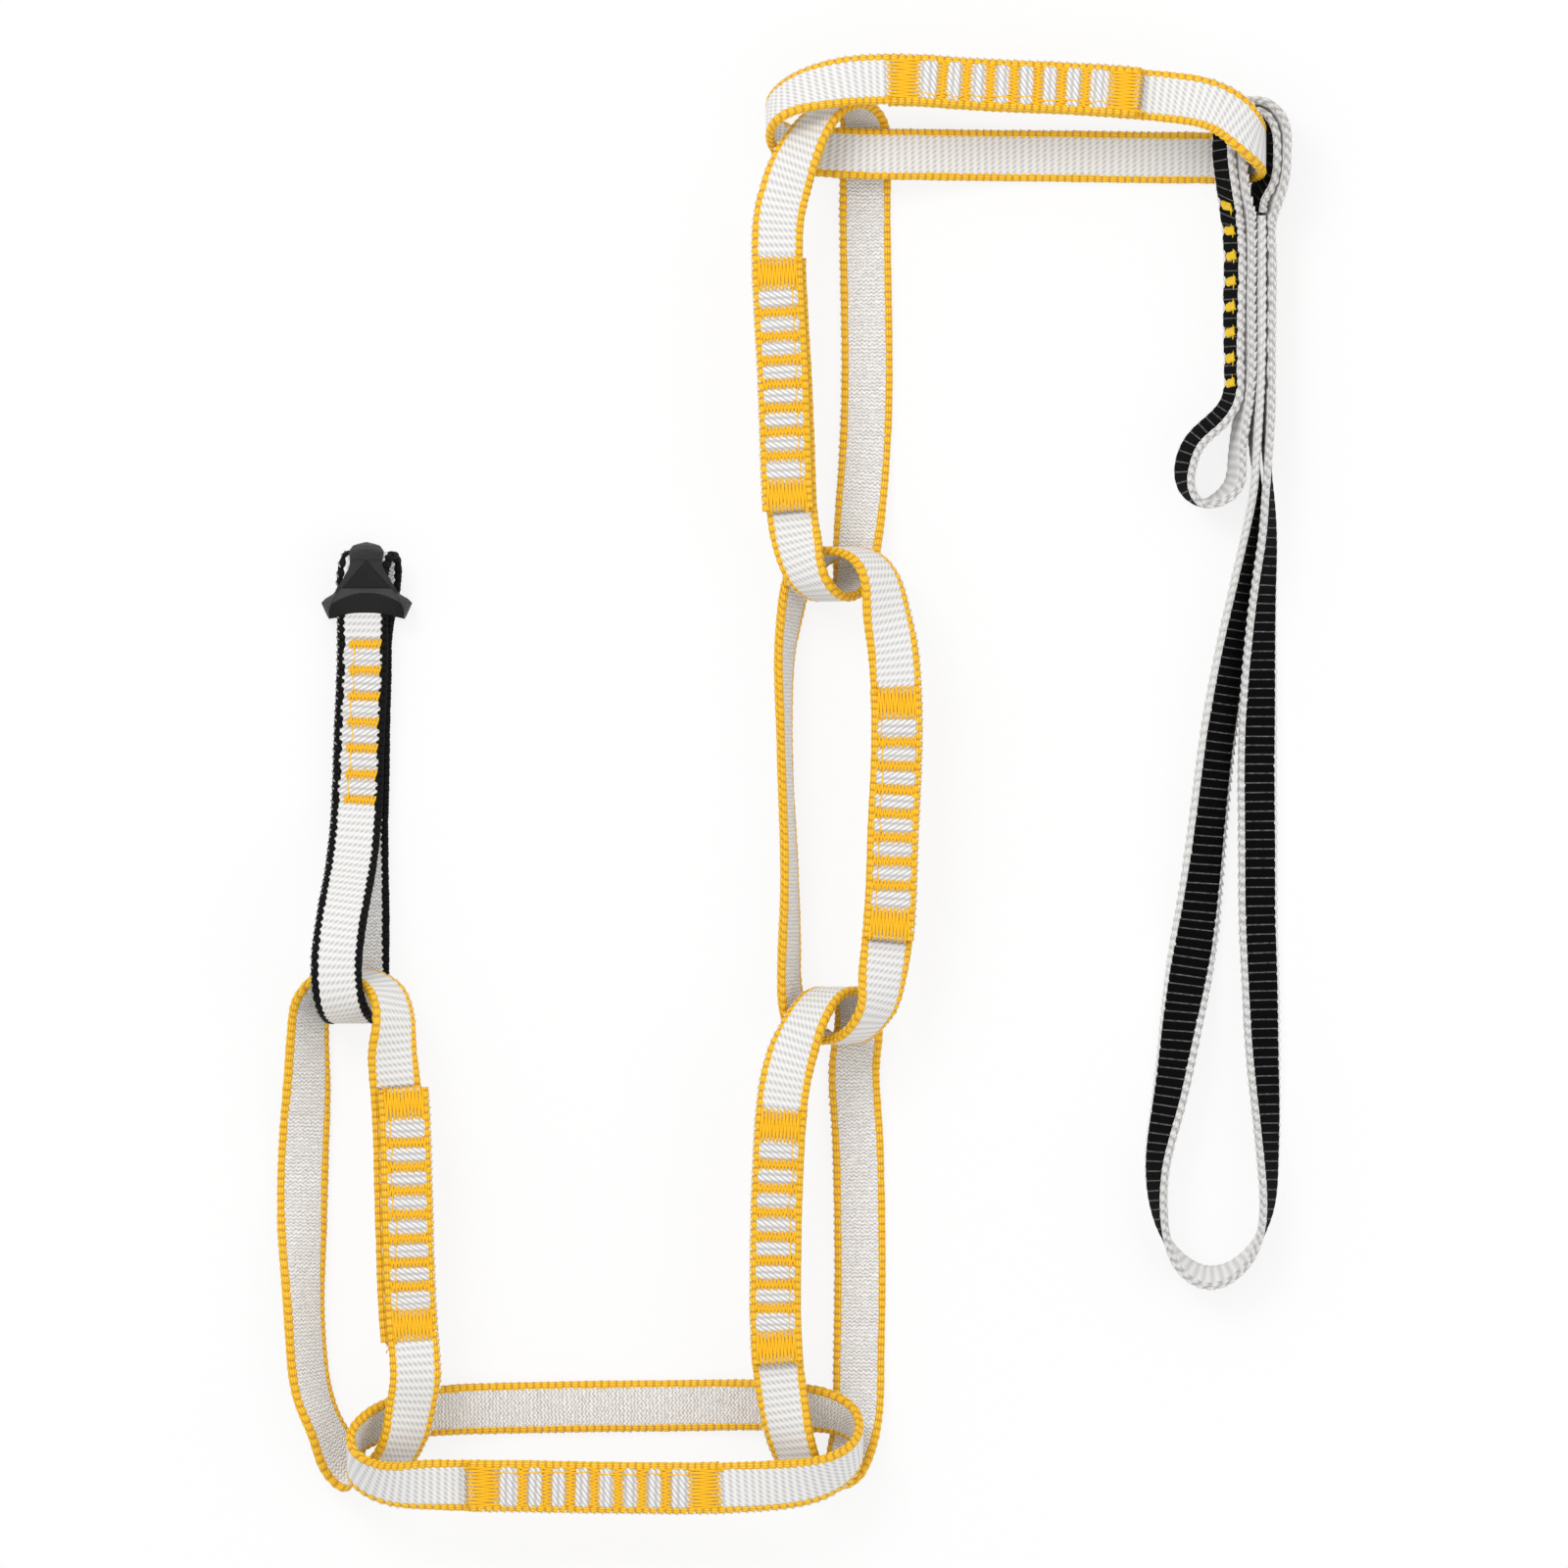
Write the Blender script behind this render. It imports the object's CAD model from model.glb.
"""The looks of a climbing daisy chain of sewn webbing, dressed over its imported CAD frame.

Every piece of webbing is one woven strip carried along the line that its solid follows: a ribbed
white cloth between two corded selvedges, lapped or butted and held by zigzag bar tacks. Distances are
in metres, names that end in _share or _shares hold shares of a size, and the tables of the strips
are in shares of the webbing's width.
"""

import math

import bpy
import numpy as np
from bpy.props import FloatProperty, FloatVectorProperty, IntProperty, PointerProperty
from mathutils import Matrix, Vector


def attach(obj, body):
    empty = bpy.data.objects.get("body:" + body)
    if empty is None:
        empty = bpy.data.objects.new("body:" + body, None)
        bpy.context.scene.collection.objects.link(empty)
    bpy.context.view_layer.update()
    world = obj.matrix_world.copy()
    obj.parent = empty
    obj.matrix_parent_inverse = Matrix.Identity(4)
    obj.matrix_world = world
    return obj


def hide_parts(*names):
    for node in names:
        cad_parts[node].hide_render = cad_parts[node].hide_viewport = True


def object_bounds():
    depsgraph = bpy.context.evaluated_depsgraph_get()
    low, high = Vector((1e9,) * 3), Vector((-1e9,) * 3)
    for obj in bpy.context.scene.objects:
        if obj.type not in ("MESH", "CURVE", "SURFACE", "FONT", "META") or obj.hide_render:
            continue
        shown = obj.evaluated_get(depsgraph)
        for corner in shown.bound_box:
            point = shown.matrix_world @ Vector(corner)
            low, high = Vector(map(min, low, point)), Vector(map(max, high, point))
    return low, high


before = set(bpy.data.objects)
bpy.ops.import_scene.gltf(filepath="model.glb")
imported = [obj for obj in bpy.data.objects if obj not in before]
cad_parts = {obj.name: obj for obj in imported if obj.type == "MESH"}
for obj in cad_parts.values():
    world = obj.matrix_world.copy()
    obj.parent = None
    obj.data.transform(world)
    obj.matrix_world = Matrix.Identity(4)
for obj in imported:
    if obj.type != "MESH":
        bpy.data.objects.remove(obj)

bl_info = {
    "name": "Daisy chain dresser",
    "version": (1, 0, 0),
    "blender": (4, 5, 0),
    "location": "3D View > Sidebar > Daisy chain",
    "description": "Dresses a climbing daisy chain with woven webbing, selvedges and bar tacks",
    "category": "Object",
}

CAD_BOX = [list(corner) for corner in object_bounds()]
MM = 0.001
UP = np.array([0.0, 0.0, 1.0])

# The strips and the chain: the webbing, its laps and tacks, the keeper's place and size, the tie-in
# sling and where the chain starts
WEB_WIDTH = 13.0 * MM
WEB_THICK = 2.0 * MM
PLY_PITCH = 2.3 * MM
STRIP_STEP = 7.0 * MM
LINK_LENGTH = 124.0 * MM
SEWN_share = 0.496
SEWN_LENGTH = LINK_LENGTH * SEWN_share
LAP_SLIDE = 12.0 * MM
WIDE_TACK = 7.4 * MM
NARROW_TACKS = 7
NARROW_PITCH = (SEWN_LENGTH - 2 * WIDE_TACK) / (NARROW_TACKS + 1)
BUTT_LAP = 0.15 * MM
END_TACK_PITCH = 6.35 * MM
END_TACKS_MIDDLE = 73.7 * MM
END_TACK_WIDTH = 7.6 * MM
END_STITCH = 1.75 * MM
END_TACK_ASIDE = 0.7 * MM
KEEPER_START = 98.9 * MM
KEEPER_LENGTH = 18.8 * MM
KEEPER_WIDTH = 22.0 * MM
KEEPER_HEIGHT = 14.5 * MM
KEEPER_ASIDE = 3.3 * MM
TIE_WIDTH = 12.0 * MM
TIE_LENGTH = 290.6 * MM
TIE_SEWN_END = 70.6 * MM
TIE_TACK_FIRST = 24.7 * MM
TIE_TACK_PITCH = 6.25 * MM
TIE_TACKS = 8
TIE_STITCH = 1.4 * MM
TIE_STITCH_WIDTH = 5.4 * MM
TIE_SHEAR = -0.11
TIE_LEAN = 22.0
TIE_PLIES = 4
TIE_STITCH_SUNK = 0.22 * MM
TIE_BEAD_share = 0.28
TIE_EDGE_share = 0.86
TIE_MESH = (12, 18)
TIE_POINTS = 3600
END_LOBES_share = 0.45
CHAIN_START_X = -4.44 * MM
CHAIN_START_Y = 161.91 * MM

# The cloth: how far it runs under its selvedges, how sharp its ribs are and how they flatten where
# it is sewn, its crown, how tacks draw it in and it puffs up between them, how its ribs wander, and
# how low link 1's far run lies, whose ribbed face is inside
EDGE_LAP_share = 0.62
RIB_SHARPNESS = 1.2
RIB_FLAT_share = 0.4
CROWN = 0.10 * MM
PINCH = 0.30 * MM
PUFF = 0.08 * MM
PINCH_EASE = 1.1 * MM
SEWN_EASE = 2.0 * MM
RIB_WANDER_share = 0.07
RIB_WANDER_WAVE = 19 * MM
LOW_RUN_share = 0.9

# The crepe of the inner face: its pitch across, its height, and the size and wave of its unevenness
CREPE_PITCH = 1.9 * MM
CREPE_HEIGHT = 0.03 * MM
CREPE_SINK = 0.05 * MM
CREPE_DRIFT = 0.04 * MM
CREPE_WAVE = 4.1 * MM
CREPE_SEED = 5

# The selvedges: depth and slant of their beads, how quickly the slant turns over, the crease beside
# the cloth, how far in they lie, how their size and place waver (size, wave, seed), how a tack thins
# them, and the radius and thread spacing that their pattern is drawn for
BEAD_share = 0.15
BEAD_SLANT_share = 0.25
BEAD_TURN = 0.05
EDGE_CREASE_share = 0.15
EDGE_IN_share = 1.08
EDGE_SWELLS = ((0.05, 5.3 * MM, 20), (0.04, 31 * MM, 24))
EDGE_SWAY, EDGE_SWAY_WAVE, EDGE_SWAY_SEED = 0.03 * MM, 14 * MM, 28
EDGE_THIN_share = 0.12
EDGE_RADIUS = 1.2 * MM
EDGE_THREAD = 0.66

# The weft's turns at the edge: their angle round it, how that varies, how far they turn, their reach,
# radius and taper, how deep they lie, and how low a ply still shows them
FLECK_TURN = 0.6
FLECK_UNEVEN = 0.12
FLECK_TWISTS = (0.3, 0.55)
FLECK_REACH = 0.45 * MM
FLECK_RADIUS = 0.26 * MM
FLECK_TAPER = 0.85
FLECK_IN_share = 0.93
FLECK_SEED = 70
LOW_PLY = 0.2 * MM

# The bar tacks: how far they sink in, a pass's teeth, unevenness along and across, depth, arch and
# share of its pitch, the length from which passes get finer, and what a wide tack adds to its length
STITCH_SINK = 0.12 * MM
TOOTH = 0.32 * MM
NEEDLE_UNEVEN = 0.09 * MM
PASS_UNEVEN = 0.03 * MM
PASS_DEPTH = 0.25 * MM
PASS_ARCH = 0.37 * MM
ARCH_SHARPNESS = 0.35
PASS_RADIUS_share = 0.66
LONG_PASS = 4 * MM
WIDE_MORE = 0.3 * MM
WIDE_SEED = 60

# The thread carried from tack to tack: radius, place across, swing and knots, height, and its sag
# between the tacks; and the tufts at the wide tacks: number, radius, place, spread and curl
THREAD_RADIUS = 0.19 * MM
CARRIED_share = 0.36
CARRIED_SWING = 0.28 * MM
CARRIED_KNOT = 1.2 * MM
CARRIED_HEIGHT = 0.30 * MM
CARRIED_SAG = 0.16 * MM
CARRIED_EASE = 1.6 * MM
CARRIED_SEED = 40
TUFT_THREADS = 5
TUFT_RADIUS = 0.14 * MM
TUFT_ASIDE_share = 0.47
TUFT_SPREAD = 0.5 * MM
TUFT_CURL = 0.25 * MM
TUFT_SEED = 80

# The keeper, from its skirt to its top: distance up it, half width, height of its edge
KEEPER_RIM = 0.6 * MM
KEEPER_shares = (
    (0.0, 0.42, 0.33),
    (0.04, 0.44, 0.33),
    (0.21, 0.505, 0.32),
    (0.27, 0.455, 0.40),
    (0.32, 0.37, 0.60),
    (0.36, 0.34, 0.74),
    (0.41, 0.315, 0.78),
    (0.51, 0.262, 0.80),
    (0.63, 0.205, 0.82),
    (0.70, 0.182, 0.83),
    (0.80, 0.182, 0.82),
    (0.865, 0.196, 0.78),
    (0.90, 0.182, 0.74),
    (0.955, 0.148, 0.66),
    (0.975, 0.10, 0.60),
    (1.0, 0.015, 0.50),
)

# Its front, from its skirt to the apex and over the hood: distance up, half width between the ridges,
# and the ridges' height; then the arc of the skirt, with its growth to the sides
KEEPER_FRONT_shares = (
    (0.0, 0.41, 0.62),
    (0.09, 0.42, 0.65),
    (0.27, 0.36, 0.72),
    (0.36, 0.30, 0.745),
    (0.41, 0.268, 0.78),
    (0.54, 0.165, 0.86),
    (0.764, 0.004, 0.98),
    (0.84, 0.004, 0.99),
    (0.90, 0.004, 0.93),
    (0.96, 0.004, 0.78),
    (1.0, 0.004, 0.60),
)
KEEPER_ARC_shares = (0.32, -0.9)

# Its relief: the skirt's fall and how it eases, the band's top, the pyramid's start and end and how it
# bulges, the ridges' lip with its width and end, how round the flanks are below and over the hood,
# the rim's arch with its half width, the height of its underside, and its rings and columns
KEEPER_FALL = 2.6 * MM
KEEPER_FALL_EASE = 0.8
KEEPER_BAND_TOP_share = 0.40
KEEPER_PYRAMID_shares = (0.385, 0.76)
KEEPER_BULGE = 1.3 * MM
KEEPER_BULGE_EASE_share = 0.03
KEEPER_LIP = 0.32 * MM
KEEPER_LIP_WIDTH = 0.25 * MM
KEEPER_LIP_END_share = 0.78
KEEPER_HOOD_share = 0.764
KEEPER_ROUNDS = (1.2, 2.2)
KEEPER_ARCH = 1.3 * MM
KEEPER_ARCH_share = 0.42
KEEPER_UNDER_share = 0.3
KEEPER_MESH = (110, 89)

# The studio: the floor's gap and corners, how far it glows for the camera, the camera's sensor in
# millimetres and reach, and the lamps' places, sizes and shares of the key's power
FLOOR_GAP = 0.02 * MM
FLOOR_CORNERS = ((-12.0, -12.0), (12.0, -12.0), (12.0, 12.0), (-12.0, 12.0))
FLOOR_GLOW = 0.82
CAMERA_SENSOR = 36.0
CAMERA_REACH = 100.0
LAMPS = (
    ("key_lamp", (-0.55, 0.75, 1.1), 0.7, 1.0),
    ("side_lamp", (0.9, -0.3, 0.9), 0.8, 0.3),
)

# Every table below is in shares of WEB_WIDTH, chosen by hand. A turn of a link lists its stations
# from the near run, round the end, to the far run: distance from the link's end, distance across
# towards the far run, lift of the lower selvedge over the table, and tilt of the width in degrees.
TURN_1_START_shares = (
    (4.0, -0.68, 1.28, 10),
    (2.7, -0.76, 1.30, 10),
    (1.9, -0.75, 1.32, 12),
    (1.2, -0.67, 1.30, 22),
    (0.6, -0.52, 1.12, 36),
    (0.23, -0.31, 0.85, 44),
    (0.08, -0.03, 0.48, 46),
    (0.18, 0.25, 0.20, 42),
    (0.54, 0.47, 0.10, 32),
    (1.2, 0.57, 0.40, 13),
    (1.9, 0.60, 0.50, 5),
    (2.8, 0.61, 0.38, 4),
    (4.0, 0.62, 0.08, 5),
)
TURN_1_END_shares = (
    (4.2, -0.62, 1.28, 10),
    (3.0, -0.55, 1.32, 10),
    (2.0, -0.46, 1.38, 10),
    (1.3, -0.33, 1.48, 12),
    (0.80, -0.08, 1.46, 15),
    (0.42, 0.30, 1.37, 12),
    (0.22, 0.55, 0.96, 8),
    (0.40, 0.66, 0.48, 4),
    (0.64, 0.69, 0.13, 2),
    (1.1, 0.67, 0.01, 0),
    (2.0, 0.66, 0.0, 0),
    (3.4, 0.64, 0.0, 2),
)
TURN_2_START_shares = (
    (4.2, -0.80, 1.30, 0),
    (2.7, -0.84, 1.28, 3),
    (1.8, -0.73, 1.24, 10),
    (1.15, -0.50, 1.14, 24),
    (0.60, -0.20, 0.92, 38),
    (0.22, 0.18, 0.58, 44),
    (0.16, 0.50, 0.28, 42),
    (0.42, 0.74, 0.05, 26),
    (0.75, 0.79, 0.0, 14),
    (1.20, 0.79, 0.0, 6),
    (2.05, 0.78, 0.0, 0),
    (3.7, 0.80, 0.0, 0),
)
TURN_2_END_shares = (
    (3.85, -0.72, 1.32, 3),
    (2.4, -0.67, 1.32, 4),
    (1.4, -0.60, 1.30, 10),
    (0.78, -0.45, 1.20, 26),
    (0.34, -0.20, 1.00, 38),
    (0.12, 0.14, 0.60, 44),
    (0.30, 0.50, 0.20, 44),
    (0.80, 0.61, 0.03, 30),
    (1.85, 0.70, 0.0, 8),
    (3.4, 0.80, 0.0, 0),
)
TURN_3_START_shares = (
    (4.4, -1.02, 1.32, 0),
    (3.2, -1.04, 1.32, 2),
    (1.95, -0.95, 1.30, 10),
    (1.19, -0.83, 1.22, 28),
    (0.64, -0.72, 1.08, 42),
    (0.28, -0.48, 0.84, 48),
    (0.13, -0.08, 0.56, 47),
    (0.24, 0.42, 0.26, 47),
    (0.63, 0.79, 0.06, 56),
    (1.22, 0.95, 0.0, 64),
    (2.0, 1.06, 0.0, 72),
    (3.0, 1.08, 0.0, 78),
    (4.4, 1.05, 0.0, 80),
)
TURN_3_END_shares = (
    (4.1, -0.97, 1.32, 0),
    (3.2, -0.94, 1.32, 2),
    (2.1, -0.87, 1.30, 8),
    (1.35, -0.79, 1.24, 24),
    (0.95, -0.71, 1.14, 36),
    (0.58, -0.52, 0.96, 46),
    (0.26, -0.15, 0.56, 48),
    (0.28, 0.42, 0.21, 47),
    (0.56, 0.80, 0.02, 56),
    (1.07, 0.96, 0.0, 66),
    (1.85, 0.98, 0.0, 70),
    (2.7, 0.97, 0.0, 74),
    (3.8, 0.99, 0.0, 78),
)
TURN_4_START_shares = (
    (3.9, -0.77, 1.32, 0),
    (3.2, -0.74, 1.32, 0),
    (2.2, -0.66, 1.30, 5),
    (1.43, -0.50, 1.24, 14),
    (0.87, -0.30, 1.10, 28),
    (0.46, -0.08, 0.86, 34),
    (0.18, 0.24, 0.50, 38),
    (0.26, 0.62, 0.16, 38),
    (0.72, 0.77, 0.02, 24),
    (1.43, 0.70, 0.0, 10),
    (2.6, 0.73, 0.0, 2),
    (4.0, 0.78, 0.0, 0),
)
TURN_4_END_shares = (
    (4.2, -0.80, 1.32, 0),
    (3.3, -0.80, 1.32, 0),
    (2.2, -0.74, 1.30, 4),
    (1.3, -0.60, 1.10, 16),
    (0.74, -0.44, 0.82, 26),
    (0.32, -0.22, 0.50, 32),
    (0.12, 0.12, 0.24, 34),
    (0.32, 0.46, 0.06, 32),
    (0.72, 0.62, 0.0, 22),
    (1.35, 0.74, 0.0, 10),
    (2.2, 0.77, 0.0, 0),
    (3.4, 0.79, 0.0, 0),
)
TURN_5_START_shares = (
    (4.1, -0.75, 1.32, 2),
    (3.0, -0.75, 1.32, 4),
    (2.04, -0.70, 1.30, 12),
    (1.1, -0.61, 1.22, 26),
    (0.50, -0.38, 1.02, 40),
    (0.17, 0.0, 0.72, 46),
    (0.22, 0.38, 0.48, 44),
    (0.55, 0.62, 0.34, 36),
    (1.05, 0.72, 0.24, 24),
    (2.1, 0.78, 0.10, 10),
    (3.2, 0.77, 0.0, 4),
)
TURN_5_END_shares = (
    (4.4, -0.74, 1.32, 2),
    (2.7, -0.71, 1.32, 4),
    (1.4, -0.71, 1.28, 12),
    (0.70, -0.68, 1.16, 30),
    (0.20, -0.54, 1.08, 42),
    (-0.12, -0.26, 0.99, 46),
    (-0.13, 0.04, 0.77, 46),
    (0.06, 0.28, 0.54, 44),
    (0.50, 0.50, 0.30, 34),
    (1.37, 0.66, 0.14, 16),
    (2.8, 0.72, 0.0, 6),
    (4.4, 0.75, 0.0, 4),
)
TURN_6_START_shares = (
    (4.1, -1.0, 1.32, 5),
    (2.9, -1.06, 1.32, 5),
    (2.0, -1.12, 1.30, 8),
    (1.37, -1.09, 1.12, 14),
    (0.85, -0.99, 0.88, 24),
    (0.44, -0.80, 0.57, 28),
    (0.14, -0.43, 0.16, 18),
    (0.08, -0.10, 0.03, 15),
    (0.35, 0.22, 0.0, 25),
    (0.85, 0.48, 0.0, 42),
    (1.46, 0.73, 0.0, 42),
    (2.4, 0.88, 0.0, 42),
    (3.5, 0.94, 0.0, 38),
)
TURN_6_END_shares = (
    (3.6, -0.95, 1.32, 5),
    (2.74, -0.92, 1.32, 5),
    (2.0, -0.87, 1.30, 10),
    (1.26, -0.82, 1.22, 28),
    (0.74, -0.76, 1.04, 42),
    (0.32, -0.58, 0.74, 43),
    (0.10, -0.22, 0.50, 42),
    (0.08, 0.20, 0.33, 42),
    (0.34, 0.63, 0.24, 42),
    (0.62, 0.79, 0.09, 42),
    (1.05, 0.85, 0.0, 40),
    (2.0, 0.87, 0.0, 28),
    (3.0, 0.92, 0.0, 14),
    (4.2, 0.96, 0.0, 10),
)

# The links: heading, side of the far run, start of the link from the end of the one before it (link
# 2: from the start of link 1), the middle of its sewn part as a share of its length, and how far each
# of its sewn plies lies to its own side
LINK_shares = (
    ((1, 0), (0, -1), (0.0, 0.0), 0.485, 0.0, TURN_1_START_shares, TURN_1_END_shares),
    ((0, -1), (1, 0), (1.09, 0.48), 0.565, 0.03, TURN_2_START_shares, TURN_2_END_shares),
    ((0, -1), (-1, 0), (0.33, 1.11), 0.525, 0.0, TURN_3_START_shares, TURN_3_END_shares),
    ((0, -1), (1, 0), (-0.44, 1.30), 0.50, 0.0, TURN_4_START_shares, TURN_4_END_shares),
    ((-1, 0), (0, 1), (0.92, 0.80), 0.535, 0.0, TURN_5_START_shares, TURN_5_END_shares),
    ((0, 1), (-1, 0), (-0.13, -0.59), 0.52, 0.06, TURN_6_START_shares, TURN_6_END_shares),
)

# The end sling, from the butt in its back ply: distance up from its lower end, distance to the
# right, lift over the table, and how many plies lie under it
END_SLING_shares = (
    (5.7, 0.22, 0.15, 0),
    (4.6, 0.20, 0.12, 0),
    (3.6, 0.18, 0.06, 0),
    (2.7, 0.19, 0.01, 0),
    (1.8, 0.20, 0.0, 0),
    (1.0, 0.20, 0.0, 0),
    (0.50, 0.18, 0.04, 0),
    (0.18, 0.08, 0.27, 0),
    (0.08, 0.0, 0.68, 0),
    (0.18, -0.12, 1.12, 0),
    (0.48, -0.24, 1.48, 0),
    (0.95, -0.29, 1.57, 0),
    (1.5, -0.26, 1.50, 0),
    (2.2, -0.16, 1.22, 0),
    (2.9, -0.04, 0.74, 0),
    (3.5, 0.03, 0.32, 1),
    (4.1, 0.07, 0.13, 1),
    (4.8, 0.10, 0.12, 1),
    (5.7, 0.13, 0.15, 1),
    (6.6, 0.17, 0.15, 1),
    (7.3, 0.18, 0.15, 1),
    (7.75, 0.18, 0.17, 1),
    (8.08, 0.18, 0.36, 1),
    (8.36, 0.18, 0.53, 1),
    (8.62, 0.22, 0.53, 1),
    (8.78, 0.33, 0.47, 0),
    (8.68, 0.42, 0.22, 0),
    (8.3, 0.42, 0.15, 0),
    (7.5, 0.28, 0.15, 0),
    (6.6, 0.24, 0.15, 0),
)

# The tie-in sling, from its upper end down the long loop and back, over the eye, down to the small
# loop and up again: where the distance is counted from (0 the eye's top, 1 the end of the sewn
# part, 2 the far end upwards), the distance, the distance to the right, plies to the right of the
# stack's middle, lift, and lean of the beaded selvedge to the left of the way the strip runs. The
# beaded selvedge starts lowest, at 202 degrees, and is uppermost at 0: the long loop has a half twist.
TIE_SLING_shares = (
    (0, 2.1, 0.0, 0.5, 0.02, 202),
    (0, 2.8, 0.0, 0.5, 0.0, 202),
    (0, 3.6, 0.0, 0.5, 0.0, 202),
    (1, -0.56, 0.0, 0.5, 0.0, 200),
    (1, 0.28, 0.0, 0.5, 0.0, 194),
    (1, 1.15, 0.1, 0.0, 0.0, 184),
    (1, 1.9, 0.12, 0.0, 0.0, 170),
    (1, 2.65, 0.04, 0.0, 0.0, 159),
    (1, 3.6, -0.11, 0.0, 0.0, 148),
    (1, 4.54, -0.28, 0.0, 0.0, 140),
    (1, 5.56, -0.46, 0.0, 0.0, 135),
    (1, 6.46, -0.6, 0.0, 0.0, 132),
    (2, 9.56, -0.71, 0.0, 0.0, 130),
    (2, 8.07, -0.87, 0.0, 0.0, 121),
    (2, 6.98, -1.0, 0.0, 0.0, 106),
    (2, 5.87, -1.16, 0.0, 0.0, 80),
    (2, 4.76, -1.33, 0.0, 0.0, 58),
    (2, 3.48, -1.54, 0.0, 0.0, 42),
    (2, 2.41, -1.73, 0.0, 0.0, 27),
    (2, 1.57, -1.71, 0.0, 0.0, 14),
    (2, 0.91, -1.53, 0.0, 0.0, -2),
    (2, 0.46, -1.21, 0.0, 0.0, -18),
    (2, 0.26, -0.77, 0.0, 0.0, -24),
    (2, 0.43, -0.27, 0.0, 0.0, -16),
    (2, 0.94, 0.14, 0.0, 0.0, -2),
    (2, 1.57, 0.32, 0.0, 0.0, 12),
    (2, 2.41, 0.34, 0.0, 0.0, 23),
    (2, 3.28, 0.31, 0.0, 0.0, 33),
    (2, 4.39, 0.25, 0.0, 0.0, 44),
    (2, 5.87, 0.2, 0.0, 0.0, 52),
    (2, 6.98, 0.16, 0.0, 0.0, 54),
    (2, 8.46, 0.15, 0.0, 0.0, 55),
    (2, 9.57, 0.14, 0.0, 0.0, 55),
    (1, 6.28, 0.15, 0.0, 0.0, 53),
    (1, 5.56, 0.17, 0.0, 0.0, 48),
    (1, 4.54, 0.21, 0.0, 0.0, 38),
    (1, 3.6, 0.27, 0.0, 0.0, 28),
    (1, 2.65, 0.34, 0.0, 0.0, 17),
    (1, 1.9, 0.34, 0.0, 0.0, 8),
    (1, 1.15, 0.33, 0.0, 0.0, -4),
    (1, 0.28, 0.03, 1.5, 0.0, -14),
    (1, -0.56, 0.0, 1.5, 0.0, -20),
    (0, 3.6, 0.0, 1.5, 0.0, -22),
    (0, 2.8, 0.0, 1.5, 0.0, -22),
    (0, 2.25, 0.0, 1.5, 0.03, -22),
    (0, 1.5, 0.52, 0.0, 0.2, -20),
    (0, 0.88, 0.6, 0.0, 0.28, -16),
    (0, 0.34, 0.55, 0.0, 0.28, -14),
    (0, 0.04, 0.3, 0.0, 0.28, -8),
    (0, -0.04, 0.0, 0.0, 0.28, 0),
    (0, 0.03, -0.24, 0.0, 0.28, 8),
    (0, 0.24, -0.4, 0.0, 0.28, 16),
    (0, 0.66, -0.5, 0.0, 0.28, 22),
    (0, 1.4, -0.45, 0.0, 0.28, 22),
    (0, 2.2, -0.05, -1.5, 0.05, 22),
    (0, 2.85, 0.0, -1.5, 0.0, 22),
    (0, 3.6, -0.01, -1.5, 0.0, 22),
    (1, -0.37, -0.01, -1.5, 0.0, 19),
    (1, 0.15, -0.35, 0.0, 0.0, 20),
    (1, 0.52, -0.60, 0.0, 0.0, 22),
    (1, 0.91, -1.01, 0.0, 0.0, 22),
    (1, 1.39, -1.21, 0.0, 0.0, 22),
    (1, 1.85, -1.16, 0.0, 0.0, 12),
    (1, 2.09, -0.88, 0.0, 0.0, -2),
    (1, 2.04, -0.64, 0.0, 0.0, -10),
    (1, 1.74, -0.31, 0.0, 0.0, -18),
    (1, 1.2, -0.24, 0.0, 0.0, -15),
    (1, 0.55, -0.16, 0.0, 0.0, -15),
    (1, -0.1, 0.0, -0.5, 0.0, -18),
    (0, 3.6, -0.01, -0.5, 0.0, -22),
    (0, 2.6, 0.0, -0.5, 0.01, -22),
    (0, 2.1, -0.03, -0.5, 0.06, -22),
    (0, 1.62, -0.22, 0.0, 0.24, -22),
    (0, 0.9, -0.28, 0.0, 0.28, -22),
    (0, 0.38, -0.22, 0.0, 0.28, -14),
    (0, 0.17, -0.02, 0.0, 0.28, -3),
    (0, 0.19, 0.15, 0.0, 0.28, 6),
    (0, 0.4, 0.34, 0.0, 0.28, 12),
    (0, 0.9, 0.4, 0.0, 0.28, 17),
    (0, 1.45, 0.31, 0.0, 0.15, 21),
    (0, 1.8, 0.14, 0.0, 0.04, 22),
    (0, 2.03, 0.01, 0.5, 0.02, 22),
)

# Seeds of the random draws: a strip's own, and its stitching's
LINK_SEEDS = (10, 100, 7)
END_SLING_SEEDS = (90, 910)
TIE_SEEDS = (120, 930)

# Where the two slings lie: the end sling's lower end from link 6's end, and the top of the tie-in
# sling's eye from link 1's end
END_SLING_AT_shares = (0.0, -0.98)
TIE_EYE_AT_shares = (-0.43, 0.35)


def linear(code):
    """An sRGB hex colour in linear light: c / 12.92 below 0.04045, else ((c + 0.055) / 1.055) ^ 2.4."""
    shares = [int(code[i : i + 2], 16) / 255 for i in (0, 2, 4)]
    return tuple(c / 12.92 if c <= 0.04045 else ((c + 0.055) / 1.055) ** 2.4 for c in shares)


def length(name, description, value):
    """A property that holds a length in metres."""
    return FloatProperty(
        name=name, description=description, default=value, unit="LENGTH", subtype="DISTANCE"
    )


def colour(name, description, code):
    """A property that holds a colour, given by its sRGB code."""
    return FloatVectorProperty(
        name=name, description=description, default=linear(code), subtype="COLOR"
    )


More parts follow.
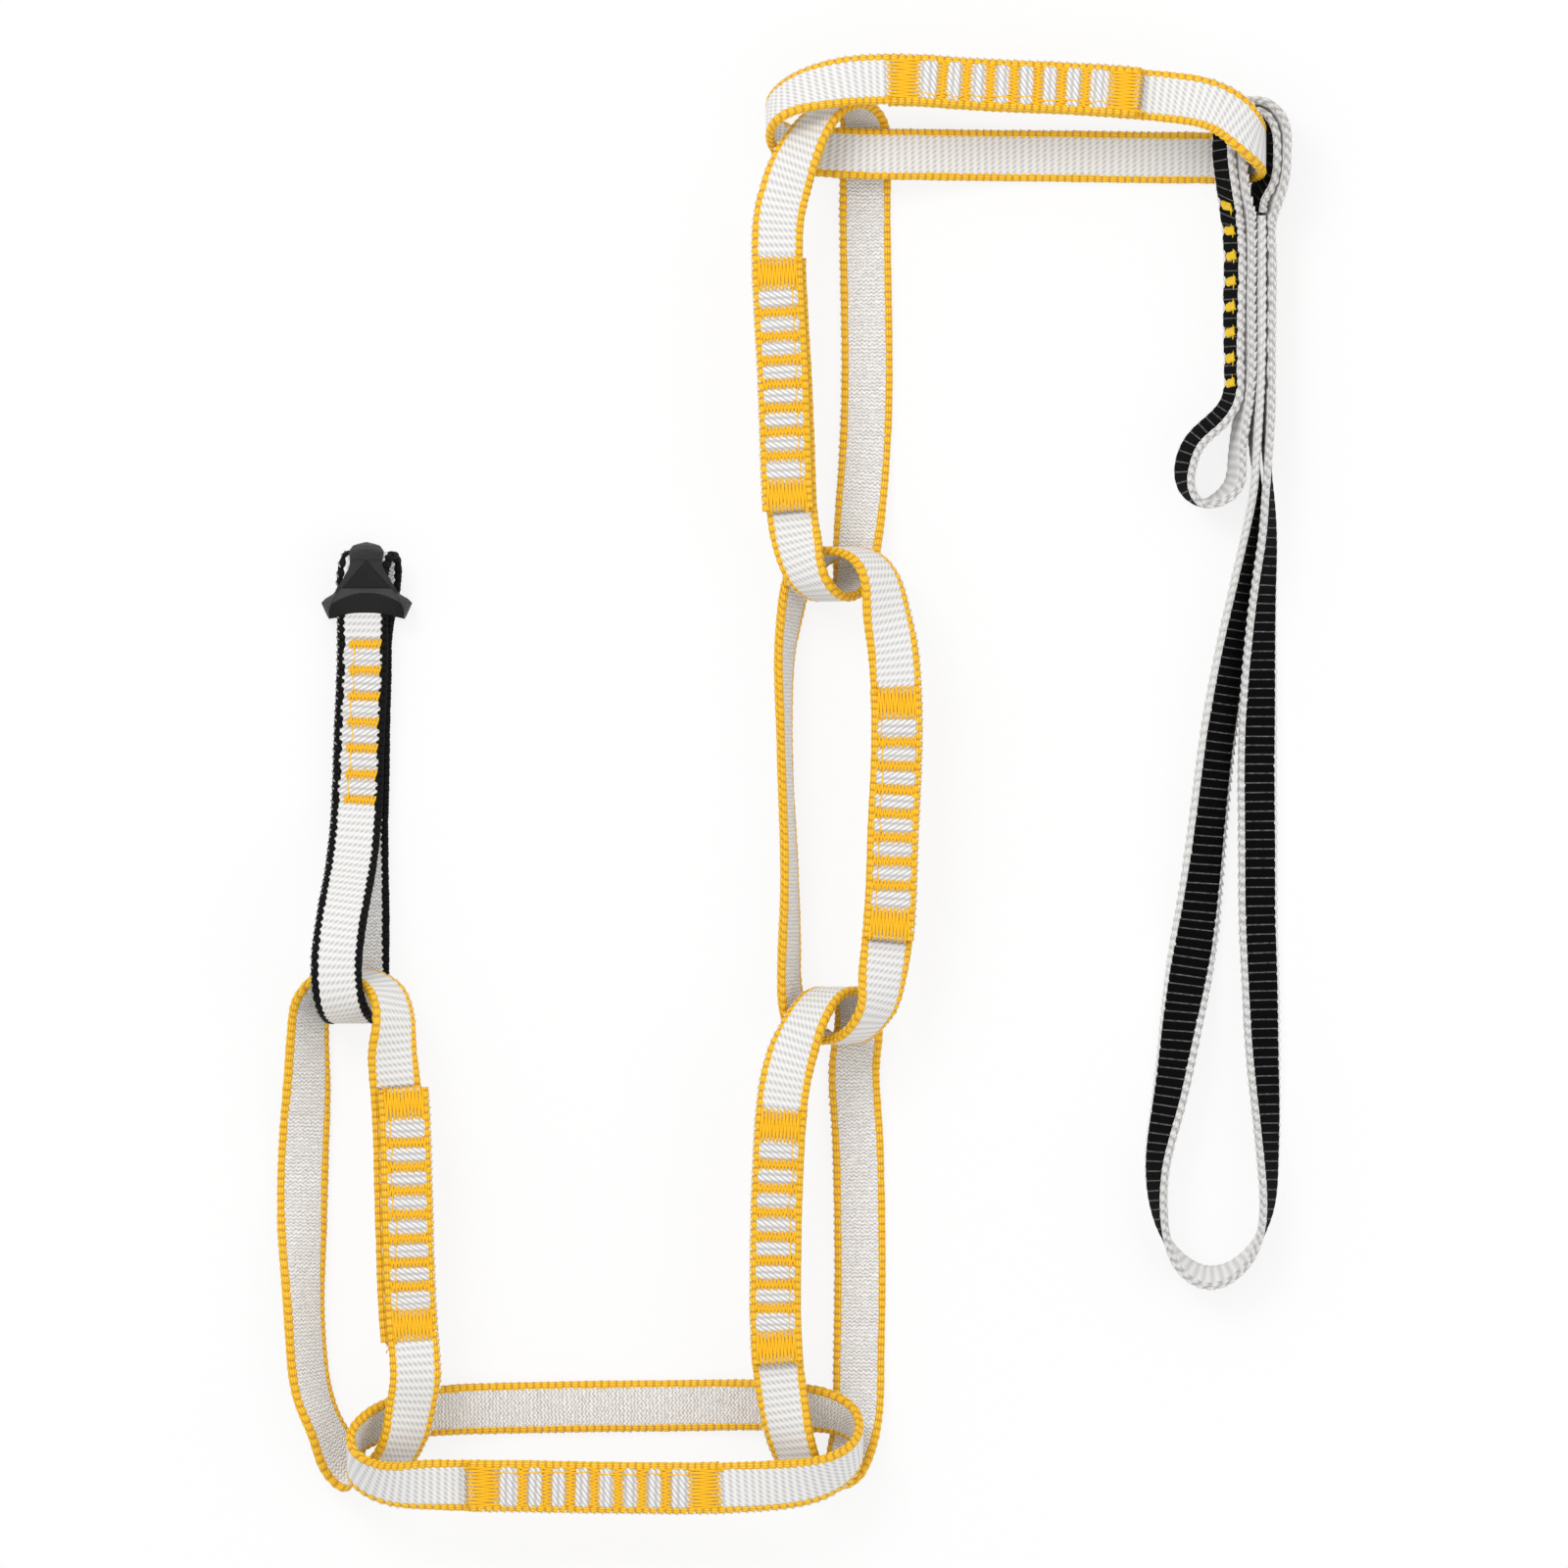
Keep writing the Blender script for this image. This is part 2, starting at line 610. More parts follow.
class ChainSizes(bpy.types.PropertyGroup):
    """Sizes of the weave and the stitches."""

    rings: IntProperty(
        name="Rings to a rib", description="Rings of a strip's mesh to a rib", default=8, min=4, max=12
    )
    rib_pitch: length("Rib pitch", "Distance between the white webbing's ribs", 1.835 * MM)
    rib_depth: length("Rib depth", "Depth of the grooves between the ribs", 0.07 * MM)
    black_pitch: length("Black rib pitch", "Distance between the tie-in sling's ribs", 2.315 * MM)
    edge_width: length("Selvedge width", "Width of a link's corded selvedge from above", 2.6 * MM)
    edge_thick: length("Selvedge thickness", "Thickness of a link's corded selvedge", 2.42 * MM)
    black_edge_width: length("Black selvedge width", "Width of the end sling's selvedge", 2.7 * MM)
    tie_edge_width: length("White selvedge width", "Width of the tie-in sling's selvedge", 2.3 * MM)
    tack_width: length("Tack width", "How far a link's bar tack reaches across", 9.6 * MM)
    tack_length: length("Narrow tack length", "Length of a narrow tack along the webbing", 2.05 * MM)
    stitch_width: length("Stitch width", "Pitch of the tack's thread across the webbing", 0.43 * MM)


class ChainColours(bpy.types.PropertyGroup):
    """Colours of the threads and the rubber, in linear light."""

    white_yarn: colour("White yarn", "Ribs of the white webbing", "EDECEA")
    groove_grey: colour("Groove grey", "White yarn in its grooves", "C2C0BE")
    inner_yarn: colour("Inner yarn", "Inner face of the white webbing", "FFFEFD")
    inner_shade: colour("Inner shade", "Pits of the inner face", "BDBAB6")
    yellow_yarn: colour("Yellow yarn", "Selvedge of the links", "FFCE0A")
    yellow_shade: colour("Yellow shade", "Deep parts of the yellow selvedge", "DE9002")
    yellow_thread: colour("Yellow thread", "Sewing thread of the bar tacks", "FFC81C")
    black_yarn: colour("Black yarn", "Black webbing and selvedges", "0A0A0B")
    rubber: colour("Rubber", "Moulded keeper", "232324")


class StudioLight(bpy.types.PropertyGroup):
    """The plain studio that the chain lies in."""

    sky_strength: FloatProperty(
        name="Sky", description="Strength of the white surround", default=0.84
    )
    key_power: FloatProperty(
        name="Key lamp", description="Power of the large soft lamp", default=6.6, unit="POWER"
    )
    camera_height: length("Camera height", "Height of the camera over the floor", 6.0)
    frame_width: length("Frame width", "Width of floor that the picture shows", 0.384)


# Lines that the strips follow


def smooth_curve(rows, closed, count):
    """A cubic spline through the rows, whose second derivative is continuous, read at even steps."""
    rows = np.array(rows, float)
    if closed:
        rows = np.vstack([rows, rows[:1]])
    steps = np.linalg.norm(np.diff(rows[:, :3], axis=0), axis=1)
    knots = np.concatenate([[0.0], np.cumsum(steps)])
    n = len(rows)
    system, right = np.eye(n), np.zeros_like(rows)
    inner = np.arange(1, n - 1)
    before, after = steps[:-1], steps[1:]
    slopes = np.diff(rows, axis=0) / steps[:, None]
    system[inner, inner - 1] = before
    system[inner, inner] = 2 * (before + after)
    system[inner, inner + 1] = after
    right[inner] = 6 * np.diff(slopes, axis=0)
    if closed:
        system[0, :2] = 2 * (steps[-1] + steps[0]), steps[0]
        system[0, n - 2] = steps[-1]
        right[0] = 6 * (slopes[0] - slopes[-1])
        system[-1, 0] = -1
    bends = np.linalg.solve(system, right)
    at = np.linspace(0, knots[-1], count)
    i = np.clip(np.searchsorted(knots, at, side="right") - 1, 0, n - 2)
    h, a, b = steps[i, None], (at - knots[i])[:, None], (knots[i + 1] - at)[:, None]
    return (
        bends[i] * b**3 / (6 * h)
        + bends[i + 1] * a**3 / (6 * h)
        + (rows[i] / h - bends[i] * h / 6) * b
        + (rows[i + 1] / h - bends[i + 1] * h / 6) * a
    )


def unit(vectors):
    """Each vector divided by its own length."""
    return vectors / np.linalg.norm(vectors, axis=-1, keepdims=True)


class Line:
    """A strip's middle line with its width and outward directions, read by distance along it."""

    def __init__(self, rows, closed, width=WEB_WIDTH, count=900):
        curve = smooth_curve(rows, closed, count)
        self.closed = closed
        self.points, widths = curve[:, :3], curve[:, 3:6]
        tangents = np.gradient(self.points, axis=0)
        if closed:
            tangents[0] = tangents[-1] = self.points[1] - self.points[-2]
        tangents = unit(tangents)
        self.widths = unit(widths - (widths * tangents).sum(1)[:, None] * tangents)
        leans = abs(self.widths[:, 2])
        lowest = (width * leans + WEB_THICK * np.sqrt(1 - leans**2)) / 2
        self.points[:, 2] = np.maximum(self.points[:, 2], lowest)
        self.normals = np.cross(tangents, self.widths)
        steps = np.linalg.norm(np.diff(self.points, axis=0), axis=1)
        self.at = np.concatenate([[0.0], np.cumsum(steps)])
        self.length = self.at[-1]

    def read(self, distances, column):
        """A column of values along the line, read in between at the distances."""
        at = np.mod(distances, self.length) if self.closed else distances
        return np.interp(at, self.at, column)

    def away(self, distances, centre):
        """How far the distances are from a centre, the shorter way round a closed line."""
        gap = distances - centre
        if self.closed:
            gap = np.mod(gap + self.length / 2, self.length) - self.length / 2
        return abs(gap)

    def frames(self, distances):
        """Points, width directions and outward directions at the distances, of any shape."""
        made = [
            np.stack([self.read(distances, column) for column in columns.T], axis=-1)
            for columns in (self.points, self.widths, self.normals)
        ]
        return made[0], unit(made[1]), unit(made[2])

    def nearest(self, place, among=None):
        """The distance along the line that passes closest to a place in the plan."""
        miss = np.linalg.norm(self.points[:, :2] - np.asarray(place)[:2], axis=1)
        if among is not None:
            miss = np.where(among, miss, np.inf)
        return self.at[int(np.argmin(miss))]

    def row(self, places, among=None):
        """The distances closest to places in a row, in order along the line."""
        found = np.array([self.nearest(place, among) for place in places])
        if self.closed:
            found = np.unwrap(found, period=self.length)
        return np.sort(found)


def in_plan(x, y):
    """A place or a direction on the table."""
    return np.array([x, y, 0.0])


def tilted_row(place, lift, tilt, side):
    """A station at a place in the plan, its lower selvedge lifted and its width tilted to a side."""
    lean = math.radians(tilt)
    height = lift * WEB_WIDTH + (WEB_WIDTH * abs(math.sin(lean)) + WEB_THICK * math.cos(lean)) / 2
    return (*(place + height * UP), *(math.cos(lean) * side + math.sin(lean) * UP))


def turn_rows(turn, end, inward, side):
    """A turn's stations, each at end + width x (along x inward + across x side)."""
    return [
        tilted_row(end + WEB_WIDTH * (along * inward + across * side), lift, tilt, side)
        for along, across, lift, tilt in turn
    ]


class Link:
    """One link of the chain: its place in the plan, its ring and the middle of its sewn part."""

    def __init__(self, start, heading, side, sewn_share, slip, start_turn, end_turn):
        heading, side = in_plan(*heading), in_plan(*side)
        self.start, self.end, self.slip = start, start + LINK_LENGTH * heading, slip * WEB_WIDTH
        rows = turn_rows(start_turn, self.start, heading, side)[::-1]
        rows += turn_rows(end_turn, self.end, -heading, side)
        self.line = Line(rows, closed=True)
        above = self.line.points[:, 2] > WEB_WIDTH
        self.middle = self.line.nearest(start + sewn_share * LINK_LENGTH * heading, above)
        self.out = 1.0 if self.line.frames(np.array([self.middle]))[2][0, 2] > 0 else -1.0
        self.first, self.last = self.middle - SEWN_LENGTH / 2, self.middle + SEWN_LENGTH / 2

    def ply(self, at):
        """Which ply the strip is in: -1 under the lap, 1 over it, eased in between."""
        leaving = eased((at - self.last - STRIP_STEP) / LAP_SLIDE)
        meeting = 1 - eased((self.line.length + self.first - STRIP_STEP - at) / LAP_SLIDE)
        return leaving + meeting - 1


def chain_links():
    """The six links, each placed from the end of the one before it."""
    links = []
    place = in_plan(CHAIN_START_X, CHAIN_START_Y)
    for heading, side, from_last, *rest in LINK_shares:
        link = Link(place + WEB_WIDTH * in_plan(*from_last), heading, side, *rest)
        place = link.start if not links else link.end
        links.append(link)
    return links


def end_sling_line(lower_end):
    """The end sling's line: stations up from its lower end, lifted by the plies under them."""
    right, up = in_plan(1, 0), in_plan(0, 1)
    rows = []
    for along, across, lift, plies in END_SLING_shares:
        place = lower_end + WEB_WIDTH * (along * up + across * right) + plies * PLY_PITCH * UP
        rows.append(tilted_row(place, lift, 0, right))
    return Line(rows, closed=True)


def tie_in_line(eye_top):
    """The tie-in sling's line. Its width is cos(lean) x up + sin(lean) x left of the way it runs, so it
    stands on edge, and its middle lies half of that width's height over the table."""
    ply = PLY_PITCH / math.cos(math.radians(TIE_LEAN))
    down, right = in_plan(0, -1), in_plan(1, 0)
    places, leans, lifts = [], [], []
    for group, along, across, plies, lift, lean in TIE_SLING_shares:
        reach = (0.0, TIE_SEWN_END, TIE_LENGTH)[group] + (1, 1, -1)[group] * along * WEB_WIDTH
        places.append(eye_top + reach * down + (across * WEB_WIDTH + plies * ply) * right)
        leans.append(math.radians(lean))
        lifts.append(lift * WEB_WIDTH)
    places, leans = np.array(places), np.array(leans)[:, None]
    left = np.cross(UP, unit(np.gradient(places, axis=0)))
    widths = np.cos(leans) * UP + np.sin(leans) * left
    heights = (TIE_WIDTH * abs(np.cos(leans)) + WEB_THICK * abs(np.sin(leans))) / 2
    places = places + (heights + np.array(lifts)[:, None]) * UP
    return Line(np.hstack([places, widths]), closed=False, width=TIE_WIDTH, count=TIE_POINTS)


# Surfaces


def eased(share):
    """3 s^2 - 2 s^3 of the share s, held between 0 and 1."""
    share = np.clip(share, 0, 1)
    return share * share * (3 - 2 * share)


def drift(distances, wave, seed):
    """A slow wander between -1 and 1: three sines of unrelated lengths and phases."""
    phases = np.random.default_rng(seed).uniform(0, 2 * math.pi, 3)
    waves = wave * np.array([1.0, 0.61, 0.37])
    return sum(np.sin(2 * math.pi * distances / w + p) for w, p in zip(waves, phases)) / 3


def dip(phase, sharpness):
    """A groove at each whole number: (half of 1 + cosine of the turn) raised to the sharpness."""
    return (0.5 + 0.5 * np.cos(2 * math.pi * phase)) ** sharpness


class Surface:
    """Grids of points that go together into one mesh, with a UV in millimetres across and along."""

    def __init__(self):
        self.points, self.loops, self.totals, self.uvs, self.looks, self.count = [], [], [], [], [], 0

    def add(self, points, along, across, looks=0):
        """Adds tubes of shape (tube, ring, corner, 3), closed round their corners and capped at both
        ends. Their volume, a sum of a . (b x c) over the faces, tells which way the faces point."""
        tubes, rings, corners = points.shape[:3]
        index = self.count + np.arange(tubes * rings * corners).reshape(tubes, rings, corners)
        follow = np.roll(index, -1, axis=2)
        quads = np.stack([index[:, :-1], follow[:, :-1], follow[:, 1:], index[:, 1:]], axis=-1)
        u, v = np.broadcast_to(across, (corners + 1,)), np.broadcast_to(along, (tubes, rings))
        shape = (tubes, rings - 1, corners)
        low, high = (np.broadcast_to(part[:, :, None], shape) for part in (v[:, :-1], v[:, 1:]))
        this, after = np.broadcast_to(u[:-1], shape), np.broadcast_to(u[1:], shape)
        pairs = ((this, low), (after, low), (after, high), (this, high))
        uv = np.stack([np.stack(pair, axis=-1) for pair in pairs], axis=-2)
        faces = np.broadcast_to(looks, shape).reshape(-1)
        corner = quads[0].reshape(-1, 4) - self.count
        a, b, c, d = (points[0].reshape(-1, 3)[corner[:, k]] for k in range(4))
        start, end = index[:, 0, ::-1], index[:, -1]
        if (a * np.cross(b, c)).sum() + (a * np.cross(c, d)).sum() < 0:
            quads, uv = quads[..., ::-1], uv[..., ::-1, :]
            start, end = start[:, ::-1], end[:, ::-1]
        self.points.append(points.reshape(-1, 3))
        self.loops.append(quads.reshape(-1))
        self.totals.append(np.full(quads.size // 4, 4))
        self.uvs.append(uv.reshape(-1, 2))
        self.looks.append(faces)
        for cap, place in ((start, v[:, 0]), (end, v[:, -1])):
            self.loops.append(cap.reshape(-1))
            self.totals.append(np.full(tubes, corners))
            spot = np.stack([np.full(tubes, float(u[0])), place], axis=-1)
            self.uvs.append(np.repeat(spot, corners, axis=0))
            self.looks.append(np.full(tubes, faces[0]))
        self.count += tubes * rings * corners

    def build(self, name, materials, body, slot, *replaced):
        """One mesh of all the grids, which rides on its body and replaces its nodes."""
        points, loops = np.concatenate(self.points), np.concatenate(self.loops)
        totals, looks = np.concatenate(self.totals), np.concatenate(self.looks)
        mesh = bpy.data.meshes.new(name)
        mesh.vertices.add(len(points))
        mesh.vertices.foreach_set("co", points.astype(np.float32).ravel())
        mesh.loops.add(len(loops))
        mesh.loops.foreach_set("vertex_index", loops.astype(np.int32))
        mesh.polygons.add(len(totals))
        starts = np.concatenate([[0], np.cumsum(totals)[:-1]])
        mesh.polygons.foreach_set("loop_start", starts.astype(np.int32))
        mesh.polygons.foreach_set("material_index", looks.astype(np.int32))
        layer = mesh.uv_layers.new(name="weave")
        uvs = np.concatenate(self.uvs) / MM
        layer.uv.foreach_set("vector", uvs.astype(np.float32).ravel())
        mesh.update(calc_edges=True)
        mesh.validate()
        for material in materials:
            mesh.materials.append(material)
        mesh.shade_smooth()
        made = bpy.data.objects.new(name, mesh)
        bpy.context.scene.collection.objects.link(made)
        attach(made, body)
        if replaced:
            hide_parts(*replaced)


def tubes(lines, outward, radii, around):
    """Round threads: each ring is the middle point plus radius times a circle across the thread."""
    tangents = unit(np.gradient(lines, axis=1))
    side = unit(np.cross(tangents, outward))
    rise = np.cross(side, tangents)
    angle = np.linspace(0, 2 * math.pi, around, endpoint=False)
    circle = np.cos(angle)[:, None] * side[:, :, None] + np.sin(angle)[:, None] * rise[:, :, None]
    radii = np.broadcast_to(radii, lines.shape[:2])[:, :, None, None]
    return lines[:, :, None] + radii * circle


class Weave:
    """How a strip is woven: its width, the pitch and depth of its ribs, its selvedges' size, beads and
    lobes between the tacks, and its mesh's columns across the cloth and corners round a selvedge."""

    def __init__(self, sizes, width, pitch, edge, bead=BEAD_share, lobes=0.0, thick=1.0, mesh=(14, 16)):
        self.width, self.pitch, self.depth, self.rings = width, pitch, sizes.rib_depth, sizes.rings
        self.edge_width, self.edge_thick = edge, sizes.edge_thick * thick
        self.half = width / 2 - EDGE_LAP_share * edge
        self.bead, self.lobes = bead, lobes
        self.columns, self.corners = mesh


class Strip:
    """A woven strip on a line, read at rings from its start to its end: how far each ring is moved
    outwards and aside, where it is sewn to another ply and where its tacks pinch it."""

    def __init__(self, line, start, end, weave, seed, out, rows, ply=np.zeros_like, slip=0.0):
        self.line, self.weave, self.seed, self.out = line, weave, seed, out
        self.at = np.linspace(start, end, int(round((end - start) / weave.pitch * weave.rings)))
        self.offset = out * PLY_PITCH / 2 * ply(self.at)
        self.aside = -slip * ply(self.at)
        wander = drift(self.at, RIB_WANDER_WAVE, seed)
        self.along = self.at + weave.pitch * RIB_WANDER_share * wander
        self.pinch, self.sewn = np.zeros_like(self.at), np.zeros_like(self.at)
        for centres, half in rows:
            for centre in centres:
                pinch = 1 - eased((line.away(self.at, centre) - half) / PINCH_EASE)
                self.pinch = np.maximum(self.pinch, pinch)
            middle, reach = (centres[0] + centres[-1]) / 2, (centres[-1] - centres[0]) / 2 + half
            sewn = 1 - eased((line.away(self.at, middle) - reach) / SEWN_EASE)
            self.sewn = np.maximum(self.sewn, sewn)

    def place(self, across, outward):
        """A profile carried along the line: across and outward are grids of rings by corners."""
        points, widths, normals = self.line.frames(self.at)
        across = (across + self.aside[:, None])[..., None] * widths[:, None]
        outward = (outward + self.offset[:, None])[..., None] * normals[:, None]
        return points[:, None] + across + outward


def cloth_body(strip, ribbed_inside):
    """The cloth between the selvedges. Its outer face is ribs, height = -depth x dip of the distance
    along over the pitch; its inner face is a crepe, a product of two sines whose rows swap phase. Both
    are crowned by 1 - x^4, drawn in by the tacks and puffed up between them."""
    weave = strip.weave
    x = np.linspace(-weave.half, weave.half, weave.columns)
    along, pinch, sewn = strip.along[:, None], strip.pinch[:, None], strip.sewn[:, None]
    ribs = dip(along / weave.pitch, RIB_SHARPNESS) * -weave.depth * (1 - RIB_FLAT_share * sewn)
    phase = 0.5 * math.pi * np.sign(np.sin(math.pi * along / weave.pitch))
    wave = np.sin(4 * math.pi * along / weave.pitch) * np.sin(2 * math.pi * x / CREPE_PITCH + phase)
    uneven = drift(along + 2 * x, CREPE_WAVE, strip.seed + CREPE_SEED)
    crepe = CREPE_HEIGHT * wave + CREPE_DRIFT * uneven - CREPE_SINK
    swell = CROWN * (1 - (x / weave.half) ** 4) + PUFF * (sewn - pinch) - PINCH * pinch
    swell = swell + WEB_THICK / 2
    outer, inner = swell + ribs, swell + np.where(ribbed_inside[:, None], ribs, crepe)
    across = np.broadcast_to(np.concatenate([x, x[::-1]]), (len(along), 2 * weave.columns))
    outward = strip.out * np.concatenate([outer, -inner[:, ::-1]], axis=1)
    return strip.place(across, outward), np.concatenate([x, x[::-1], x[:1]])


def selvedge_cord(strip, side):
    """A corded selvedge: an oval tube with a column of beads on either side of its edge. Its radius is
    1 - bead x dip of the distance along over the rib pitch, and the slant sets the columns half a bead
    apart: sine of the angle round the tube, over its size, times BEAD_SLANT_share."""
    weave = strip.weave
    angle = np.linspace(0, 2 * math.pi, weave.corners, endpoint=False)
    along = strip.along[:, None]
    slant = BEAD_SLANT_share * np.sin(angle) / np.sqrt(np.sin(angle) ** 2 + BEAD_TURN)
    radius = 1 - weave.bead * dip(along / weave.pitch + 0.5 + slant, 1.0)
    seed = strip.seed + side
    radius = radius * (1 + sum(size * drift(along, wave, seed + k) for size, wave, k in EDGE_SWELLS))
    radius = radius * (1 - EDGE_CREASE_share * np.exp(-((angle - math.pi) ** 2 - math.pi**2) ** 2))
    a, b = weave.edge_width / 2, weave.edge_thick / 2
    sway = EDGE_SWAY * drift(along, EDGE_SWAY_WAVE, seed + EDGE_SWAY_SEED)
    lobes = 1 + weave.lobes * (strip.sewn - strip.pinch)[:, None] * (np.cos(angle) < 0)
    centre = weave.width / 2 - EDGE_IN_share * a + sway
    across = side * (centre + a * radius * lobes * np.cos(angle))
    outward = b * (1 - EDGE_THIN_share * strip.pinch[:, None]) * radius * np.sin(angle)
    return strip.place(across, outward), np.append(angle, 2 * math.pi) * EDGE_RADIUS


def edge_flecks(strip, side):
    """Short slanted turns of the weft on the outer edge, one to a rib except on the lower ply: threads
    on an oval a little inside the selvedge's, which turn round it along their length and taper."""
    weave = strip.weave
    count = int((strip.at[-1] - strip.at[0]) / weave.pitch) - 1
    rng = np.random.default_rng(strip.seed + FLECK_SEED + side)
    ribs = (math.ceil(strip.along[0] / weave.pitch) + np.arange(count)) * weave.pitch
    at = np.interp(ribs, strip.along, strip.at)
    at = at[np.interp(at, strip.at, strip.offset) * strip.out > -LOW_PLY]
    turn, shape = np.linspace(-1, 1, 5), (len(at), 1)
    angle = strip.out * FLECK_TURN + rng.normal(0, FLECK_UNEVEN, shape)
    angle = angle + turn * rng.uniform(*FLECK_TWISTS, shape)
    distances = at[:, None] + turn * FLECK_REACH
    a, b = weave.edge_width / 2, weave.edge_thick / 2
    points, widths, normals = strip.line.frames(distances)
    offset, aside = (np.interp(distances, strip.at, moved) for moved in (strip.offset, strip.aside))
    across = side * (weave.width / 2 - a + a * FLECK_IN_share * np.cos(angle)) + aside
    outward = b * FLECK_IN_share * np.sin(angle) + offset
    lines = points + across[..., None] * widths + outward[..., None] * normals
    radii = FLECK_RADIUS * np.sqrt(1 - FLECK_TAPER * turn**2)
    return tubes(lines, side * widths, radii, 5), distances


def dress_strip(name, strip, looks, slots, ribbed_inside=False):
    """Cloth, selvedges and their weft turns for one strip, which has its body's name."""
    weave = strip.weave
    ribbed = np.broadcast_to(ribbed_inside, strip.at.shape)
    points, across = cloth_body(strip, ribbed)
    front = np.where(strip.sewn > 0.5, 1, 0)[:-1, None]
    back = np.where(ribbed, 0, 2)[:-1, None]
    faces = np.where(np.arange(2 * weave.columns) < weave.columns - 1, front, back)
    cloth = Surface()
    cloth.add(points[None], strip.along[None], across, faces[None])
    materials = [looks[key] for key in ("outer", "sewn", "inner")]
    cloth.build(f"{name}_cloth", materials, name, slots[0], f"{name}_webbing")
    for side, place in ((-1, "near"), (1, "far")):
        edge = Surface()
        points, across = selvedge_cord(strip, side)
        edge.add(points[None], strip.along[None] + weave.pitch / 2, across)
        if looks["flecked"] == place:
            flecks, distances = edge_flecks(strip, side)
            edge.add(flecks, distances, np.linspace(0, MM, 6), 1)
        materials = [looks[f"{place}_edge"], looks["fleck"]]
        edge.build(f"{name}_{place}_selvedge", materials, name, slots[1])


class Stitching:
    """The stitching on one face of a strip: the face's side and height, how far its middle lies aside,
    its width, the side that its carried thread runs on, and how it is sheared and sunk in."""

    def __init__(self, line, sign, rest, aside, width, side, sizes, seed, shear=0.0, sunk=0.0):
        self.line, self.sign, self.rest, self.aside = line, sign, rest, aside
        self.width, self.side, self.pitch, self.seed = width, side, sizes.stitch_width, seed
        self.shear, self.sunk = shear, sunk

    def threads(self, distances, across, height, radius, around):
        """Threads over the face: the line + across x its width + sign x (rest + height) x outwards."""
        points, widths, normals = self.line.frames(distances)
        outward = self.sign * (self.rest + height)
        lines = points + (across + self.aside)[..., None] * widths + outward[..., None] * normals
        return tubes(lines, self.sign * normals, radius, around)

    def tack(self, centre, length, seed):
        """A bar tack: passes of thread that run along the webbing, each an arch between two needle
        holes, leaning in turn to one side and the other so that their ends make teeth."""
        rng = np.random.default_rng(self.seed + seed)
        passes = 2 * int(round(self.width / self.pitch / 2))
        pitch = self.width / passes
        turn = np.linspace(0, 1, 9 if length > LONG_PASS else 7)
        lean = np.where(np.arange(passes) % 2, 1.0, -1.0)[:, None]
        ends = rng.normal(0, NEEDLE_UNEVEN, (passes, 2)) + np.array([-length, length]) / 2
        ends += lean * TOOTH
        across = (np.arange(passes)[:, None] + 0.5) * pitch - self.width / 2
        across = across + lean * (turn - 0.5) * pitch + rng.normal(0, PASS_UNEVEN, (passes, 1))
        along = ends[:, :1] + (ends[:, 1:] - ends[:, :1]) * turn + self.shear * across
        arch = np.clip(np.sin(math.pi * turn), 0, 1) ** ARCH_SHARPNESS
        height = PASS_ARCH * arch - PASS_DEPTH + rng.normal(0, PASS_UNEVEN, (passes, 1))
        points = self.threads(centre + along, across, height, pitch * PASS_RADIUS_share, 6)
        return points, along, np.linspace(0, 2.6 * MM, 7)

    def carried(self, centres, reach):
        """The thread carried from tack to tack: it swings between random knots, two to a tack, and
        sags by CARRIED_SAG, eased, where it is further than CARRIED_KNOT from every tack."""
        rng = np.random.default_rng(self.seed + CARRIED_SEED)
        first, last = centres[0] - reach, centres[-1] + reach
        distances = np.linspace(first, last, 140)[None]
        knots = np.concatenate([[first], centres, [last]])
        knots = np.sort(np.concatenate([knots, (knots[1:] + knots[:-1]) / 2 + CARRIED_KNOT]))
        swing = np.interp(distances, knots, rng.normal(0, CARRIED_SWING, len(knots)))
        near = np.min(np.abs(distances[..., None] - centres), axis=-1)
        sag = CARRIED_SAG * eased((near - CARRIED_KNOT) / CARRIED_EASE)
        across = self.side * self.width * CARRIED_share + swing
        points = self.threads(distances, across, CARRIED_HEIGHT - self.sunk - sag, THREAD_RADIUS, 8)
        return points, distances, np.linspace(0, 1.3 * MM, 9)

    def tuft(self, centre, seed):
        """The loose thread ends at a wide tack's corner: short threads that start near the corner, run
        either way and curl by a sine of their length."""
        rng = np.random.default_rng(self.seed + seed)
        turn, shape = np.linspace(0, 1, 9), (TUFT_THREADS, 1)
        way = rng.choice([-1.0, 1.0], shape)
        distances = centre + way * turn * rng.uniform(0.5, 1.5, shape) * MM
        distances = distances + rng.normal(0, TUFT_SPREAD, shape)
        across = self.side * self.width * TUFT_ASIDE_share * (1 + turn * rng.uniform(0.02, 0.2, shape))
        across = across + TUFT_CURL * np.sin(5 * turn + rng.uniform(0, 6, shape))
        height = (0.1 + 0.25 * np.sin(math.pi * turn)) * MM * np.ones(shape)
        points = self.threads(distances, across, height, TUFT_RADIUS, 6)
        return points, turn * MM, np.linspace(0, MM, 7)

    def row(self, whole, centres, length, looks, body, reach=0.0):
        """A row of narrow tacks and the thread carried between them, as one piece."""
        made = Surface()
        for i, centre in enumerate(centres):
            made.add(*self.tack(centre, length, i))
        made.add(*self.carried(centres, reach))
        made.build(f"{whole}_stitching", [looks["thread"]], body, "yellow_stitching", f"{whole}_tacks")

    def block(self, whole, centre, end, looks, body):
        """A wide tack over a cut end, 0 the first and 1 the last, with its tuft."""
        made = Surface()
        made.add(*self.tack(centre, WIDE_TACK + WIDE_MORE, WIDE_SEED + end))
        made.add(*self.tuft(centre + (end - 0.5) * WIDE_TACK, TUFT_SEED + end))
        made.build(f"{whole}_stitching", [looks["thread"]], body, "yellow_stitching", f"{whole}_tack")


